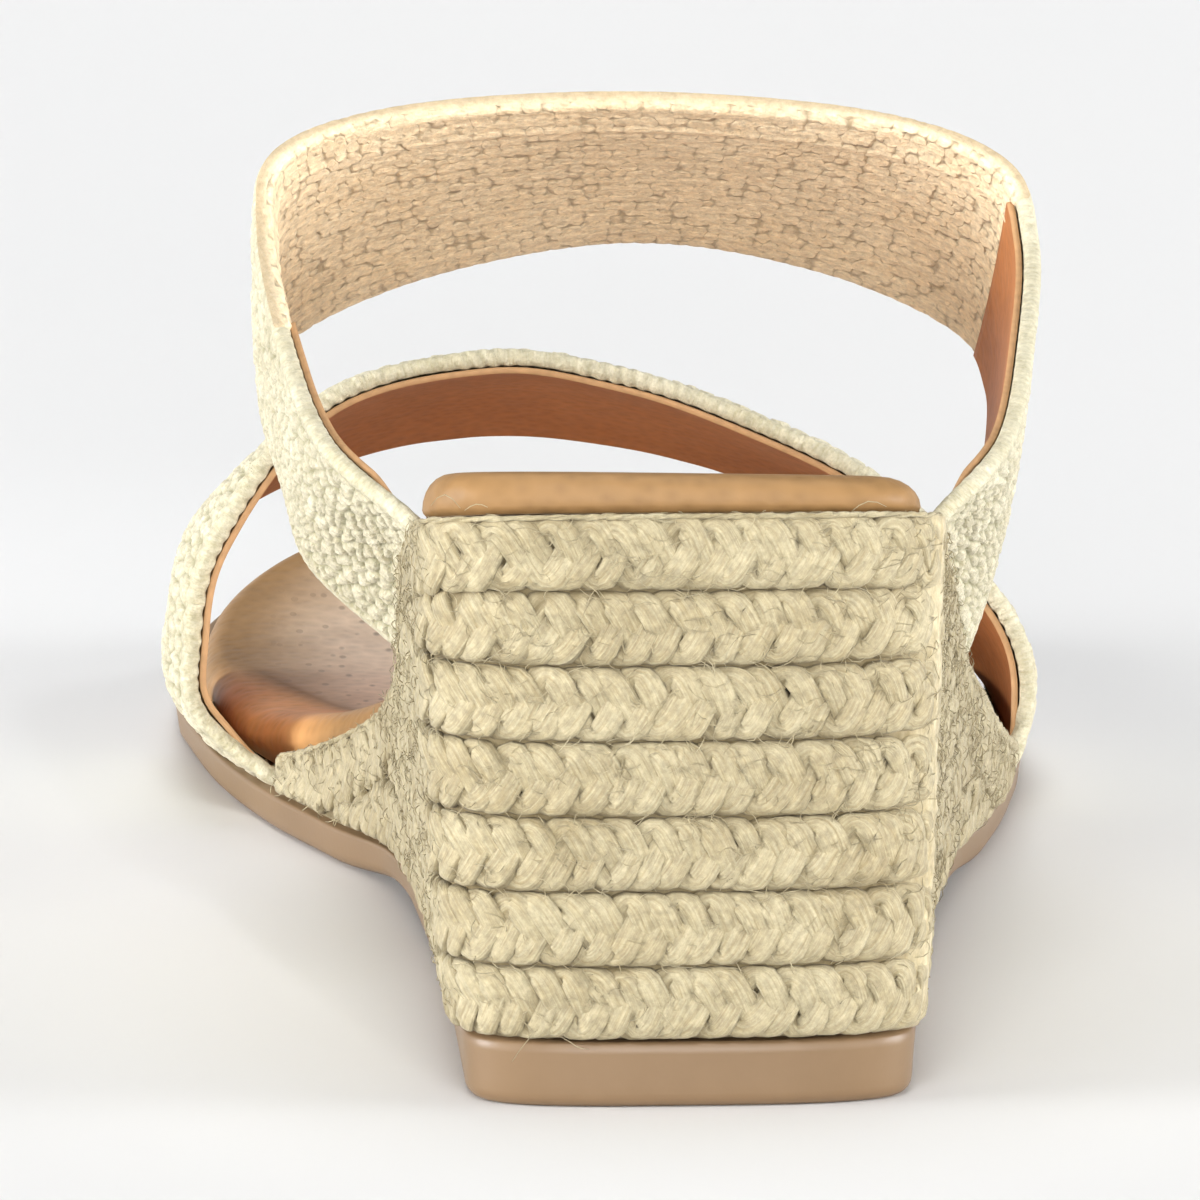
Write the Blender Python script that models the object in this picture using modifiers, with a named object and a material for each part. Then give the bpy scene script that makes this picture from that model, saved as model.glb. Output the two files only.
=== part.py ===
"""Wedge mule for a right foot: rubber outsole, jute braid wedge, leather insole and two woven straps.

Metres, +Z up, toe towards +Y, outer side of the foot towards +X. The shoe stands on the floor at Z = 0,
and the origin is under the middle of its length. Stations are distances from the back of the heel.
"""

import math

import bmesh
import bpy
from mathutils import Vector

MM = 0.001

# Driving dimensions
LENGTH = 250 * MM
HEEL_CAP_DEPTH = 14 * MM
HEEL_CAP_POWER = 3.3
HEEL_UNDERCUT = 4 * MM
HEEL_TAPER_POWER = 0.45
TOE_TIP_X = -8 * MM
TOE_POWER = 2.4
INNER_BALL_STATION = 196 * MM
OUTER_BALL_STATION = 172 * MM
WEDGE_SIDE_END = 143 * MM
WEDGE_STEP_END = 147 * MM
WEDGE_FRONT = 164 * MM
BRAID_ROWS = 7
BRAID_BULGE = 1.1 * MM
BRAID_ROUNDNESS = 0.7
INSOLE_THICKNESS = 4.2 * MM
INSOLE_FOOT_ROUND = 0.6 * MM
INSOLE_SIDE_BLEND = 20 * MM
OUTSOLE_EDGE_ROUND = 1.6 * MM
OUTSOLE_FLARE = 0.4 * MM
OUTSOLE_EDGE_CHAMFER = 0.3
STRAP_THICKNESS = 2.2 * MM
STRAP_CENTRE_HEIGHT = 0.5
SEAT_GAP = 0.3 * MM
INNER, OUTER = -1, 1
FLOOR_LEVEL, TOP_LEVEL = 0.0, 1.0

# Sampling of the lofts
HEEL_STEPS = 7
SIDE_STEPS = 18
BALL_STEPS = 2
TOE_STEPS = 9
ROW_STEPS = 4
STRAP_STEPS_PER_SECTION = 5
STRAP_COLUMNS = 8
SHARP_ANGLE = math.radians(40)
MERGE_DISTANCE = 0.01 * MM
SLIVER_SIZE = 0.005 * MM

# Edge of the sole on each side, in millimetres from the foot's axis, at the wedge's top and at the floor.
SOLE_WIDTHS = [
    # station, inner top, outer top, inner floor, outer floor
    (14, 25.5, 27.3, 20.8, 25.0),
    (40, 25.5, 29.4, 20.8, 26.4),
    (70, 24.6, 32.4, 21.4, 29.4),
    (96, 24.0, 35.4, 23.0, 32.8),
    (113, 24.8, 38.2, 24.8, 36.0),
    (130, 29.6, 41.4, 30.6, 40.0),
    (150, 36.4, 44.2, 37.2, 43.8),
    (172, 42.2, 46.0, 42.0, 46.2),
    (196, 45.0, 46.0, 44.8, 46.2),
]

# Underside of the outsole, its thickness, and how far the footbed rises above it, in millimetres.
SOLE_HEIGHTS = [
    # station, underside, thickness, rise
    (0, 0.0, 7.0, 55.4),
    (20, 0.0, 7.0, 50.6),
    (45, 0.0, 7.0, 43.6),
    (80, 0.5, 5.2, 29.8),
    (100, 1.6, 3.7, 20.8),
    (113, 1.2, 3.6, 15.8),
    (130, 0.0, 4.2, 9.2),
    (150, 0.0, 4.2, 3.6),
    (172, 0.0, 4.2, 0.4),
    (195, 0.0, 4.2, 0.3),
    (225, 2.6, 4.2, 0.3),
    (250, 7.2, 4.2, 0.3),
]

# How far the insole, the straps' outer faces and the wedge stand in from the sole's edge, in millimetres.
EDGE_INSETS = [
    # station, inner insole, outer insole, strap, wedge
    (0, 0.3, 1.6, -1.4, 0.0),
    (12, 0.4, 1.6, -1.4, 0.0),
    (18, 1.6, 1.7, -1.4, 0.0),
    (110, 1.9, 1.9, -0.7, 0.0),
    (143, 2.9, 2.9, 0.4, 0.0),
    (147, 2.9, 2.9, 0.4, 4.2),
    (250, 2.9, 2.9, 0.4, 4.2),
]

# Rounding of the insole's upper edge, in millimetres.
INSOLE_ROLLS = [
    # station, inner width, outer width, depth
    (0, 2.8, 4.2, 3.4),
    (60, 2.8, 3.6, 3.4),
    (130, 3.6, 2.6, 3.4),
    (190, 3.0, 2.0, 2.8),
    (250, 2.0, 2.0, 2.0),
]

# Outer face of the instep strap, in millimetres from the foot's axis, the heel's back and the floor.
INSTEP_SECTIONS = [
    # rear x, rear station, rear z, front x, front station, front z
    (-34.6, 32.0, 63.4, -33.6, 96.0, 38.6),
    (-38.0, 55.0, 69.2, -36.2, 102.0, 45.6),
    (-39.8, 79.0, 77.6, -38.4, 112.0, 53.6),
    (-37.6, 87.0, 85.0, -36.2, 119.0, 59.8),
    (-24.0, 94.5, 88.3, -21.0, 124.0, 66.0),
    (1.0, 97.0, 89.2, 1.5, 127.5, 69.2),
    (26.0, 94.5, 87.3, 22.0, 125.5, 66.2),
    (39.2, 87.0, 83.4, 37.0, 121.0, 60.0),
    (42.0, 79.0, 76.6, 41.0, 113.5, 53.8),
    (40.2, 57.0, 70.0, 40.2, 104.0, 46.4),
    (36.4, 33.5, 63.2, 39.0, 98.0, 38.4),
]
INSTEP_SEAT = {INNER: (18 * MM, 89 * MM), OUTER: (16 * MM, 92 * MM)}
INSTEP_BULGE = 0.4 * MM

# Outer face of the toe strap, in the same columns.
TOE_SECTIONS = [
    # rear x, rear station, rear z, front x, front station, front z
    (-44.2, 150.5, 11.6, -45.0, 190.0, 11.0),
    (-45.2, 151.5, 19.4, -44.4, 190.0, 18.6),
    (-42.4, 153.5, 31.0, -40.4, 190.0, 28.2),
    (-30.4, 156.0, 46.0, -26.0, 191.0, 34.8),
    (-12.3, 158.0, 50.4, -11.0, 191.5, 37.0),
    (2.0, 158.0, 48.4, 2.0, 191.0, 36.0),
    (15.0, 157.0, 44.0, 15.0, 190.5, 33.0),
    (30.0, 155.0, 36.6, 28.0, 190.5, 27.4),
    (43.0, 153.0, 24.2, 37.4, 191.0, 18.2),
    (46.6, 151.0, 14.2, 43.8, 192.0, 10.6),
]
TOE_SEAT = {INNER: (148 * MM, 189 * MM), OUTER: (148 * MM, 193 * MM)}
TOE_BULGE = 1.9 * MM


def monotone_curve(table, column):
    """Function of station through a table's column, with no overshoot, so that flat stretches stay flat."""
    xs = [row[0] * MM for row in table]
    ys = [row[column] * MM for row in table]
    chords = [(ys[i + 1] - ys[i]) / (xs[i + 1] - xs[i]) for i in range(len(xs) - 1)]
    slopes = [chords[0]]
    for before, after in zip(chords, chords[1:]):
        slopes.append(2 * before * after / (before + after) if before * after > 0 else 0.0)
    slopes.append(chords[-1])

    def value(station):
        station = min(max(station, xs[0]), xs[-1])
        i = max(k for k in range(len(xs) - 1) if xs[k] <= station)
        width = xs[i + 1] - xs[i]
        t = (station - xs[i]) / width
        rise = ys[i + 1] - ys[i]
        cubic = (width * (slopes[i] + slopes[i + 1]) - 2 * rise) * t**3
        square = (3 * rise - width * (2 * slopes[i] + slopes[i + 1])) * t**2
        return ys[i] + width * slopes[i] * t + square + cubic

    return value


EDGE_CURVES = {
    (INNER, TOP_LEVEL): monotone_curve(SOLE_WIDTHS, 1),
    (OUTER, TOP_LEVEL): monotone_curve(SOLE_WIDTHS, 2),
    (INNER, FLOOR_LEVEL): monotone_curve(SOLE_WIDTHS, 3),
    (OUTER, FLOOR_LEVEL): monotone_curve(SOLE_WIDTHS, 4),
}
BALL_STATION = {INNER: INNER_BALL_STATION, OUTER: OUTER_BALL_STATION}
underside = monotone_curve(SOLE_HEIGHTS, 1)
outsole_thickness = monotone_curve(SOLE_HEIGHTS, 2)
footbed_rise = monotone_curve(SOLE_HEIGHTS, 3)
insole_insets = {INNER: monotone_curve(EDGE_INSETS, 1), OUTER: monotone_curve(EDGE_INSETS, 2)}
strap_inset = monotone_curve(EDGE_INSETS, 3)
wedge_inset = monotone_curve(EDGE_INSETS, 4)
insole_rolls = {INNER: monotone_curve(INSOLE_ROLLS, 1), OUTER: monotone_curve(INSOLE_ROLLS, 2)}
insole_roll_depth = monotone_curve(INSOLE_ROLLS, 3)


def outsole_top(station):
    return underside(station) + outsole_thickness(station)


def wedge_top(station):
    """Height that the insole rests on: the top of the wedge, and in front of it the top of the outsole."""
    return outsole_top(station) + footbed_rise(station)


def heel_back(level):
    """Station of the heel's back, which leans in under the foot towards the floor."""
    return HEEL_UNDERCUT * (TOP_LEVEL - level)


def edge_x(side, level, station):
    """X of the sole's edge: a squared heel, sides from the table, and a rounded toe."""
    curve = EDGE_CURVES[side, level]
    ball = BALL_STATION[side]
    if station < HEEL_CAP_DEPTH:
        back = heel_back(level)
        reach = min(max((HEEL_CAP_DEPTH - station) / (HEEL_CAP_DEPTH - back), 0.0), 1.0)
        return side * curve(HEEL_CAP_DEPTH) * (1 - reach**HEEL_CAP_POWER) ** (1 / HEEL_CAP_POWER)
    if station > ball:
        reach = min((station - ball) / (LENGTH - ball), 1.0)
        half = side * curve(ball) - TOE_TIP_X
        return TOE_TIP_X + half * (1 - reach**TOE_POWER) ** (1 / TOE_POWER)
    return side * curve(station)


def across_sole(curves, x, station):
    """Value between the inner side's curve and the outer side's, by the place across the sole."""
    t = min(max(0.5 + x / (2 * INSOLE_SIDE_BLEND), 0.0), 1.0)
    share = t * t * (3 - 2 * t)
    return curves[INNER](station) * (1 - share) + curves[OUTER](station) * share


def even_steps(start, end, count):
    """Stations after the start, up to and with the end."""
    return [start + (end - start) * k / count for k in range(1, count + 1)]


def heel_stations(level):
    """Stations round the heel, from its back to where its sides start."""
    depth = HEEL_CAP_DEPTH - heel_back(level)
    turns = [k / HEEL_STEPS * math.pi / 2 for k in range(HEEL_STEPS)]
    return [HEEL_CAP_DEPTH - depth * math.cos(t) ** (2 / HEEL_CAP_POWER) for t in turns] + [HEEL_CAP_DEPTH]


def toe_stations():
    """Stations round the toe, from the outer ball to the tip."""
    depth = LENGTH - OUTER_BALL_STATION
    turns = even_steps(0.0, math.pi / 2, TOE_STEPS)
    return [OUTER_BALL_STATION + depth * math.sin(t) ** (2 / TOE_POWER) for t in turns]


def outline_along(level, along):
    """Closed plan outline as (x, station): the heel's back, the outer side, the toe and the inner side."""
    outer = [(edge_x(OUTER, level, s), s) for s in along]
    inner = [(edge_x(INNER, level, s), s) for s in along]
    ends_in_tip = along[-1] == LENGTH
    return outer + inner[-2 if ends_in_tip else -1 : 0 : -1]


def sole_outline(level):
    """Outline of the whole sole."""
    sides = even_steps(HEEL_CAP_DEPTH, OUTER_BALL_STATION, SIDE_STEPS)
    return outline_along(level, heel_stations(level) + sides + toe_stations())


def wedge_outline(level):
    """Outline of the wedge, which steps in behind the toe strap and thins out under the ball of the foot."""
    sides = even_steps(HEEL_CAP_DEPTH, WEDGE_SIDE_END, SIDE_STEPS)
    under = [WEDGE_STEP_END, *even_steps(WEDGE_STEP_END, WEDGE_FRONT, BALL_STEPS)]
    outline = outline_along(level, heel_stations(level) + sides + under)
    return [(x - math.copysign(wedge_inset(s), x), s) for x, s in outline]


def outward(outline):
    """Unit plan normals of an outline that runs anticlockwise."""
    count = len(outline)
    normals = []
    for i in range(count):
        before, after = outline[i - 1], outline[(i + 1) % count]
        normals.append(Vector((after[1] - before[1], before[0] - after[0])).normalized())
    return normals


def grown(outline, distance):
    """The outline moved out by a distance, which is a function of x and station, or in if it is negative."""
    moved = []
    for (x, s), normal in zip(outline, outward(outline)):
        moved.append((x + normal.x * distance(x, s), s + normal.y * distance(x, s)))
    return moved


def place(x, station, z):
    """A point of the shoe in the part's own frame."""
    return Vector((x, station - LENGTH / 2, z))


def cap(bm, ring):
    """Closes a ring with rungs from its outer side to its inner side."""
    count = len(ring)
    for i in range(count // 2):
        corners = [ring[i], ring[i + 1], ring[count - i - 1], ring[(count - i) % count]]
        bm.faces.new(list(dict.fromkeys(corners)))


def finish_object(bm, name, material):
    mesh = bpy.data.meshes.new(name)
    bm.to_mesh(mesh)
    bm.free()
    mesh.shade_smooth()
    mesh.set_sharp_from_angle(angle=SHARP_ANGLE)
    mesh.materials.append(material)
    obj = bpy.data.objects.new(name, mesh)
    shoe.objects.link(obj)
    return obj


def loft(name, rings, material):
    """Closed solid through rings of points that all have the same count, from the lowest to the highest."""
    bm = bmesh.new()
    made = [[bm.verts.new(point) for point in ring] for ring in rings]
    count = len(rings[0])
    for low, high in zip(made, made[1:]):
        for i in range(count):
            j = (i + 1) % count
            bm.faces.new((low[i], low[j], high[j], high[i]))
    cap(bm, made[0])
    cap(bm, made[-1])
    bmesh.ops.remove_doubles(bm, verts=bm.verts, dist=MERGE_DISTANCE)
    bmesh.ops.dissolve_degenerate(bm, edges=bm.edges, dist=SLIVER_SIZE)
    bmesh.ops.recalc_face_normals(bm, faces=bm.faces)
    return finish_object(bm, name, material)


def make_material(name, colour, roughness):
    material = bpy.data.materials.new(name)
    material.use_nodes = True
    shader = material.node_tree.nodes["Principled BSDF"]
    shader.inputs["Base Color"].default_value = (*colour, 1.0)
    shader.inputs["Roughness"].default_value = roughness
    shader.inputs["Metallic"].default_value = 0.0
    return material


def make_outsole(material):
    """Rubber outsole with a rounded lower edge, a flat heel and forefoot, a slight arch and toe spring."""
    outline = sole_outline(FLOOR_LEVEL)
    edge_rings = [
        # inset, height above the underside
        (OUTSOLE_EDGE_ROUND, 0.0),
        (OUTSOLE_EDGE_ROUND * OUTSOLE_EDGE_CHAMFER, OUTSOLE_EDGE_ROUND * OUTSOLE_EDGE_CHAMFER),
        (0.0, OUTSOLE_EDGE_ROUND),
    ]
    rings = [
        [place(x, s, underside(s) + height) for x, s in grown(outline, lambda *at: -inset)]
        for inset, height in edge_rings
    ]
    rings.append([place(x, s, outsole_top(s)) for x, s in grown(outline, lambda *at: OUTSOLE_FLARE)])
    return loft("outsole", rings, material)


def braid_profile(share):
    """Roundness of one braid row, from 0 in its groove to 1 on its back."""
    return max(math.sin(math.pi * share), 0.0) ** BRAID_ROUNDNESS


def wedge_column(station):
    """Heights and bulges up the wedge's side: level rows, cut off by the top row that follows the footbed."""
    bottom = outsole_top(station) + SEAT_GAP
    top = wedge_top(station)
    row_height = (wedge_top(0.0) - outsole_top(0.0) - SEAT_GAP) / BRAID_ROWS
    top_row = max(top - row_height, bottom)
    column = []
    for row in range(BRAID_ROWS - 1):
        for step in range(ROW_STEPS):
            z = min(bottom + (row + step / ROW_STEPS) * row_height, top_row)
            column.append((z, BRAID_BULGE * braid_profile(step / ROW_STEPS) if z < top_row else 0.0))
    for step in range(ROW_STEPS + 1):
        z = top_row + (top - top_row) * step / ROW_STEPS
        column.append((z, BRAID_BULGE * braid_profile((z - top + row_height) / row_height)))
    return column


def make_wedge(material):
    """Wedge wrapped in rows of flat jute braid."""
    low = wedge_outline(FLOOR_LEVEL)
    high = wedge_outline(TOP_LEVEL)
    normals = outward(high)
    columns = []
    for (low_x, low_s), (high_x, high_s), normal in zip(low, high, normals):
        heights = wedge_column(high_s)
        column = []
        for z, bulge in heights:
            climb = max(z - heights[0][0], 0.0) / (heights[-1][0] - heights[0][0])
            lean = climb**HEEL_TAPER_POWER
            x = low_x + (high_x - low_x) * lean + normal.x * bulge
            station = low_s + (high_s - low_s) * lean + normal.y * bulge
            column.append(place(x, station, z))
        columns.append(column)
    return loft("jute_wedge", list(zip(*columns)), material)


def make_insole(material):
    """Padded leather footbed with rolled edges, from the heel to the toe."""
    outline = sole_outline(TOP_LEVEL)

    def ring(foot_round, turn):
        """Ring of the edge at a turn of its roll, or under the roll where there is no turn."""
        roll_in = 0.0 if turn is None else 1 - math.cos(turn)

        def inwards(x, s):
            return -across_sole(insole_insets, x, s) - foot_round - roll_in * across_sole(insole_rolls, x, s)

        points = []
        for x, s in grown(outline, inwards):
            height = INSOLE_FOOT_ROUND - foot_round
            if turn is not None:
                height = INSOLE_THICKNESS - insole_roll_depth(s) * (1 - math.sin(turn))
            points.append(place(x, s, wedge_top(s) + SEAT_GAP + height))
        return points

    foot = [ring(INSOLE_FOOT_ROUND, None), ring(0.0, None)]
    roll = [ring(0.0, turn) for turn in (0.0, math.pi / 4, math.pi / 2)]
    return loft("insole", foot + roll, material)


def through_points(points, steps):
    """Points on a smooth curve that runs through the given ones."""
    ends = [2 * points[0] - points[1], *points, 2 * points[-1] - points[-2]]
    found = []
    for before, start, end, after in zip(ends, ends[1:], ends[2:], ends[3:]):
        for k in range(steps):
            t = k / steps
            bend = (2 * before - 5 * start + 4 * end - after) * t**2
            twist = (3 * start - before - 3 * end + after) * t**3
            found.append(start + ((end - before) * t + bend + twist) / 2)
    return [*found, points[-1]]


def strap_seat(side, seat, share, surface):
    """Foot of a strap's outer face on the edge of what it is lasted to."""
    rear, front = seat[side]
    station = rear + (front - rear) * share
    x = edge_x(side, TOP_LEVEL, station) - side * strap_inset(station)
    return place(x, station, surface(station) + SEAT_GAP)


def strap_column(sections, seat, surface, share, bulge):
    """Control points of one line along a strap, from its inner seat over the foot to its outer seat."""
    centres = [Vector((row[0], row[2] * STRAP_CENTRE_HEIGHT)) for row in sections]
    crown = sum(centres, Vector((0, 0))) * (MM / len(sections))
    points = [strap_seat(INNER, seat, share, surface)]
    for rear_x, rear_s, rear_z, front_x, front_s, front_z in sections:
        rear = place(rear_x * MM, rear_s * MM, rear_z * MM)
        front = place(front_x * MM, front_s * MM, front_z * MM)
        point = rear.lerp(front, share)
        away = Vector((point.x - crown.x, 0.0, point.z - crown.y)).normalized()
        points.append(point + away * bulge * 4 * share * (1 - share))
    points.append(strap_seat(OUTER, seat, share, surface))
    return points


def make_strap(name, sections, seat, surface, bulge, material):
    """Band of woven fibre over the foot: an open surface through the sections, given its wall by Solidify."""
    lines = []
    for k in range(STRAP_COLUMNS + 1):
        controls = strap_column(sections, seat, surface, k / STRAP_COLUMNS, bulge)
        lines.append(through_points(controls, STRAP_STEPS_PER_SECTION))
    bm = bmesh.new()
    made = [[bm.verts.new(point) for point in line] for line in lines]
    for rear, front in zip(made, made[1:]):
        for i in range(len(rear) - 1):
            bm.faces.new((rear[i], rear[i + 1], front[i + 1], front[i]))
    obj = finish_object(bm, name, material)
    wall = obj.modifiers.new("wall", "SOLIDIFY")
    wall.thickness = STRAP_THICKNESS
    wall.offset = -1.0
    wall.use_even_offset = True
    return obj


def clear_scene():
    for obj in list(bpy.data.objects):
        bpy.data.objects.remove(obj)


clear_scene()
shoe = bpy.data.collections.new("wedge_mule")
bpy.context.scene.collection.children.link(shoe)

rubber = make_material("rubber", (0.42, 0.27, 0.15), 0.55)
jute = make_material("jute", (0.66, 0.55, 0.34), 0.9)
leather = make_material("leather", (0.55, 0.32, 0.15), 0.5)
woven_fibre = make_material("woven_fibre", (0.72, 0.60, 0.40), 0.85)

make_outsole(rubber)
make_wedge(jute)
make_insole(leather)
make_strap("instep_strap", INSTEP_SECTIONS, INSTEP_SEAT, wedge_top, INSTEP_BULGE, woven_fibre)
make_strap("toe_strap", TOE_SECTIONS, TOE_SEAT, outsole_top, TOE_BULGE, woven_fibre)
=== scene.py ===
"""Looks of the wedge mule: plaited jute wedge, woven straps, leather footbed and gum rubber outsole.

Metres, +Z up, toe towards +Y, outer side of the foot towards +X, in the part's own frame.
Stations are distances from the back of the heel. Pattern coordinates of the meshes are in millimetres.
"""

import math

import bmesh
import bpy
import numpy as np
from mathutils import Matrix, Vector


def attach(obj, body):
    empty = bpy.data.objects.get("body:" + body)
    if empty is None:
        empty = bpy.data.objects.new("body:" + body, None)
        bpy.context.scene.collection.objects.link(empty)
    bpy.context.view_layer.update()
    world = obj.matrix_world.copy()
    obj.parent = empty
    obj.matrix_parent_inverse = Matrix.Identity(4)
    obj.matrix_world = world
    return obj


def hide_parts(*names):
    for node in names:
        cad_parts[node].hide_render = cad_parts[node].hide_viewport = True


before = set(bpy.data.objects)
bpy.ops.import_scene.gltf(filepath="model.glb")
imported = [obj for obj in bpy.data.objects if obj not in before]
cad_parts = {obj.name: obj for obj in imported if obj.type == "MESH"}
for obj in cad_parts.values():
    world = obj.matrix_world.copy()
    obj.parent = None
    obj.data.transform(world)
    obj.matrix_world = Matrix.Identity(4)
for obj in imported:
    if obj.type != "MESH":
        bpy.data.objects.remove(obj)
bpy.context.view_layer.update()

MM = 0.001
INNER, OUTER = -1, 1
FLOOR_LEVEL, TOP_LEVEL = 0.0, 1.0

# Sizes of the shoe, as in the part's source
LENGTH = 250 * MM
HEEL_CAP_DEPTH = 14 * MM
HEEL_CAP_POWER = 3.3
HEEL_UNDERCUT = 4 * MM
HEEL_TAPER_POWER = 0.45
TOE_TIP_X = -8 * MM
TOE_POWER = 2.4
BALL_STATION = {INNER: 196 * MM, OUTER: 172 * MM}
WEDGE_WALL_END = 151 * MM
WALL_RUN_ON = 2 * MM
BRAID_ROWS = 7
INSOLE_THICKNESS = 4.2 * MM
INSOLE_FOOT_ROUND = 0.6 * MM
INSOLE_SIDE_BLEND = 20 * MM
OUTSOLE_EDGE_ROUND = 1.6 * MM
OUTSOLE_FLARE = 0.4 * MM
STRAP_THICKNESS = 2.2 * MM
SEAT_GAP = 0.3 * MM

# Edge of the sole on each side, in millimetres from the foot's axis, at the top of the wedge and at the floor
SOLE_WIDTHS = [
    # station, inner top, outer top, inner floor, outer floor
    (14, 25.5, 27.3, 20.8, 25.0),
    (40, 25.5, 29.4, 20.8, 26.4),
    (70, 24.6, 32.4, 21.4, 29.4),
    (96, 24.0, 35.4, 23.0, 32.8),
    (113, 24.8, 38.2, 24.8, 36.0),
    (130, 29.6, 41.4, 30.6, 40.0),
    (150, 36.4, 44.2, 37.2, 43.8),
    (172, 42.2, 46.0, 42.0, 46.2),
    (196, 45.0, 46.0, 44.8, 46.2),
]

# Underside of the outsole, its thickness, and how far the footbed rises above it, in millimetres
SOLE_HEIGHTS = [
    # station, underside, thickness, rise
    (0, 0.0, 7.0, 55.4),
    (20, 0.0, 7.0, 50.6),
    (45, 0.0, 7.0, 43.6),
    (80, 0.5, 5.2, 29.8),
    (100, 1.6, 3.7, 20.8),
    (113, 1.2, 3.6, 15.8),
    (130, 0.0, 4.2, 9.2),
    (150, 0.0, 4.2, 3.6),
    (172, 0.0, 4.2, 0.4),
    (195, 0.0, 4.2, 0.3),
    (225, 2.6, 4.2, 0.3),
    (250, 7.2, 4.2, 0.3),
]

# How far the insole, the straps' outer faces and the wedge stand in from the sole's edge, in millimetres
EDGE_INSETS = [
    # station, inner insole, outer insole, strap, wedge
    (0, 0.3, 1.6, -1.4, 0.0),
    (12, 0.4, 1.6, -1.4, 0.0),
    (18, 1.6, 1.7, -1.4, 0.0),
    (110, 1.9, 1.9, -0.7, 0.0),
    (143, 2.9, 2.9, 0.4, 0.0),
    (147, 2.9, 2.9, 0.4, 4.2),
    (250, 2.9, 2.9, 0.4, 4.2),
]

# Rounding of the insole's upper edge, in millimetres
INSOLE_ROLLS = [
    # station, inner width, outer width, depth
    (0, 2.8, 4.2, 3.4),
    (60, 2.8, 3.6, 3.4),
    (130, 3.6, 2.6, 3.4),
    (190, 3.0, 2.0, 2.8),
    (250, 2.0, 2.0, 2.0),
]
INSOLE_HEEL_TILT = 0.016
HEEL_TILT_FADE = (20 * MM, 70 * MM)
INSOLE_DROP = (138 * MM, 146 * MM)
FOOTBED_DISH = 0.7 * MM
DISH_START, DISH_END = (4 * MM, 30 * MM), (215 * MM, 244 * MM)

# Orange of the footbed: up to a slanting line, with a painted grey sheen past it, and brighter under the toe
# strap, where painted light fills its shade
ORANGE_END = 168 * MM
ORANGE_EDGE = -29 * MM
ORANGE_SLANT = 2.3
ORANGE_BLEND = 8 * MM
PAINTED_LIGHT_START, PAINTED_LIGHT_END = (138 * MM, 158 * MM), (184 * MM, 204 * MM)

# Outsole: its upper lip, and fine cross grooves underneath, which are guessed
OUTSOLE_LIP = 0.35 * MM
OUTSOLE_WALL_SHARES = (0.25, 0.5, 0.75, 0.93)
TREAD_PITCH = 3.4 * MM
TREAD_WAVE = 9 * MM
TREAD_DEPTH = 0.7 * MM
TREAD_ZONES = [
    # start, full depth, fade and end, in millimetres
    (6, 9, 66, 70),
    (128, 132, 236, 240),
]

# Outer face of the instep strap, in millimetres from the foot's axis, the heel's back and the floor
INSTEP_SECTIONS = [
    # rear x, rear station, rear z, front x, front station, front z
    (-34.6, 32.0, 63.4, -33.6, 96.0, 38.6),
    (-38.0, 55.0, 69.2, -36.2, 102.0, 45.6),
    (-39.8, 79.0, 77.6, -38.4, 112.0, 53.6),
    (-37.6, 87.0, 85.0, -36.2, 119.0, 59.8),
    (-24.0, 94.5, 88.3, -21.0, 124.0, 66.0),
    (1.0, 97.0, 89.2, 1.5, 127.5, 69.2),
    (26.0, 94.5, 87.3, 22.0, 125.5, 66.2),
    (39.2, 87.0, 83.4, 37.0, 121.0, 60.0),
    (42.0, 79.0, 76.6, 41.0, 113.5, 53.8),
    (40.2, 57.0, 70.0, 40.2, 104.0, 46.4),
    (36.4, 33.5, 63.2, 39.0, 98.0, 38.4),
]
INSTEP_SEAT = {INNER: (18 * MM, 89 * MM), OUTER: (16 * MM, 92 * MM)}
INSTEP_BULGE = 0.4 * MM

# Outer face of the toe strap, in the same columns
TOE_SECTIONS = [
    # rear x, rear station, rear z, front x, front station, front z
    (-44.2, 150.5, 11.6, -45.0, 190.0, 11.0),
    (-45.2, 151.5, 19.4, -44.4, 190.0, 18.6),
    (-42.4, 153.5, 31.0, -40.4, 190.0, 28.2),
    (-30.4, 156.0, 46.0, -26.0, 191.0, 34.8),
    (-12.3, 158.0, 50.4, -11.0, 191.5, 37.0),
    (2.0, 158.0, 48.4, 2.0, 191.0, 36.0),
    (15.0, 157.0, 44.0, 15.0, 190.5, 33.0),
    (30.0, 155.0, 36.6, 28.0, 190.5, 27.4),
    (43.0, 153.0, 24.2, 37.4, 191.0, 18.2),
    (46.6, 151.0, 14.2, 43.8, 192.0, 10.6),
]
TOE_SEAT = {INNER: (148 * MM, 189 * MM), OUTER: (148 * MM, 193 * MM)}
TOE_BULGE = 1.9 * MM

# Plait of the wedge: three flat strands, crossing over to the middle from each edge in turn
PLAIT_PERIOD = 8.7 * MM
PLAIT_SWING = 3.0 * MM
PLAIT_WEAVE_DEPTH = 0.34 * MM
TOP_ROW_DEPTH_SHARE = 0.6
PLAIT_PROUD = 0.1 * MM
ROW_PRESS_START = 0.8
ROW_GROOVE = 0.42 * MM
STRAND_HALF_WIDTH = 1.48 * MM
STRAND_HALF_THICKNESS = 0.58 * MM
STRAND_FLATNESS = 0.62
STRAND_STEP = 0.5 * MM
STRAND_SIDES = 16
STRAND_TWIST = 0.09
FIBRE_HEIGHT = 0.1 * MM
FIBRE_WAVELENGTH = 5 * MM
ROW_DIVE = 1.9 * MM
PLAIT_SHADE_DEPTHS = (-0.35 * MM, 0.5 * MM)
CORE_INSET = 0.45 * MM
# Painted shade of the wall behind the plaits, where it shows in their gaps
CORE_SHADE_TONE = 0.2
EDGE_CORD_RADIUS = 0.24 * MM
EDGE_CORD_PITCH = 3.0 * MM
EDGE_CORD_LOOSE = 0.4 * MM
EDGE_CORD_LOOSENS = (70 * MM, 110 * MM)
CORNER_FELT = 0.95 * MM
CORNER_REACH = 4.5 * MM
CORNER_HEADING = math.radians(77)
FELT_FINENESS = 0.3
FUZZ_COUNT = 4000
FRINGE_COUNT = 700
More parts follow.
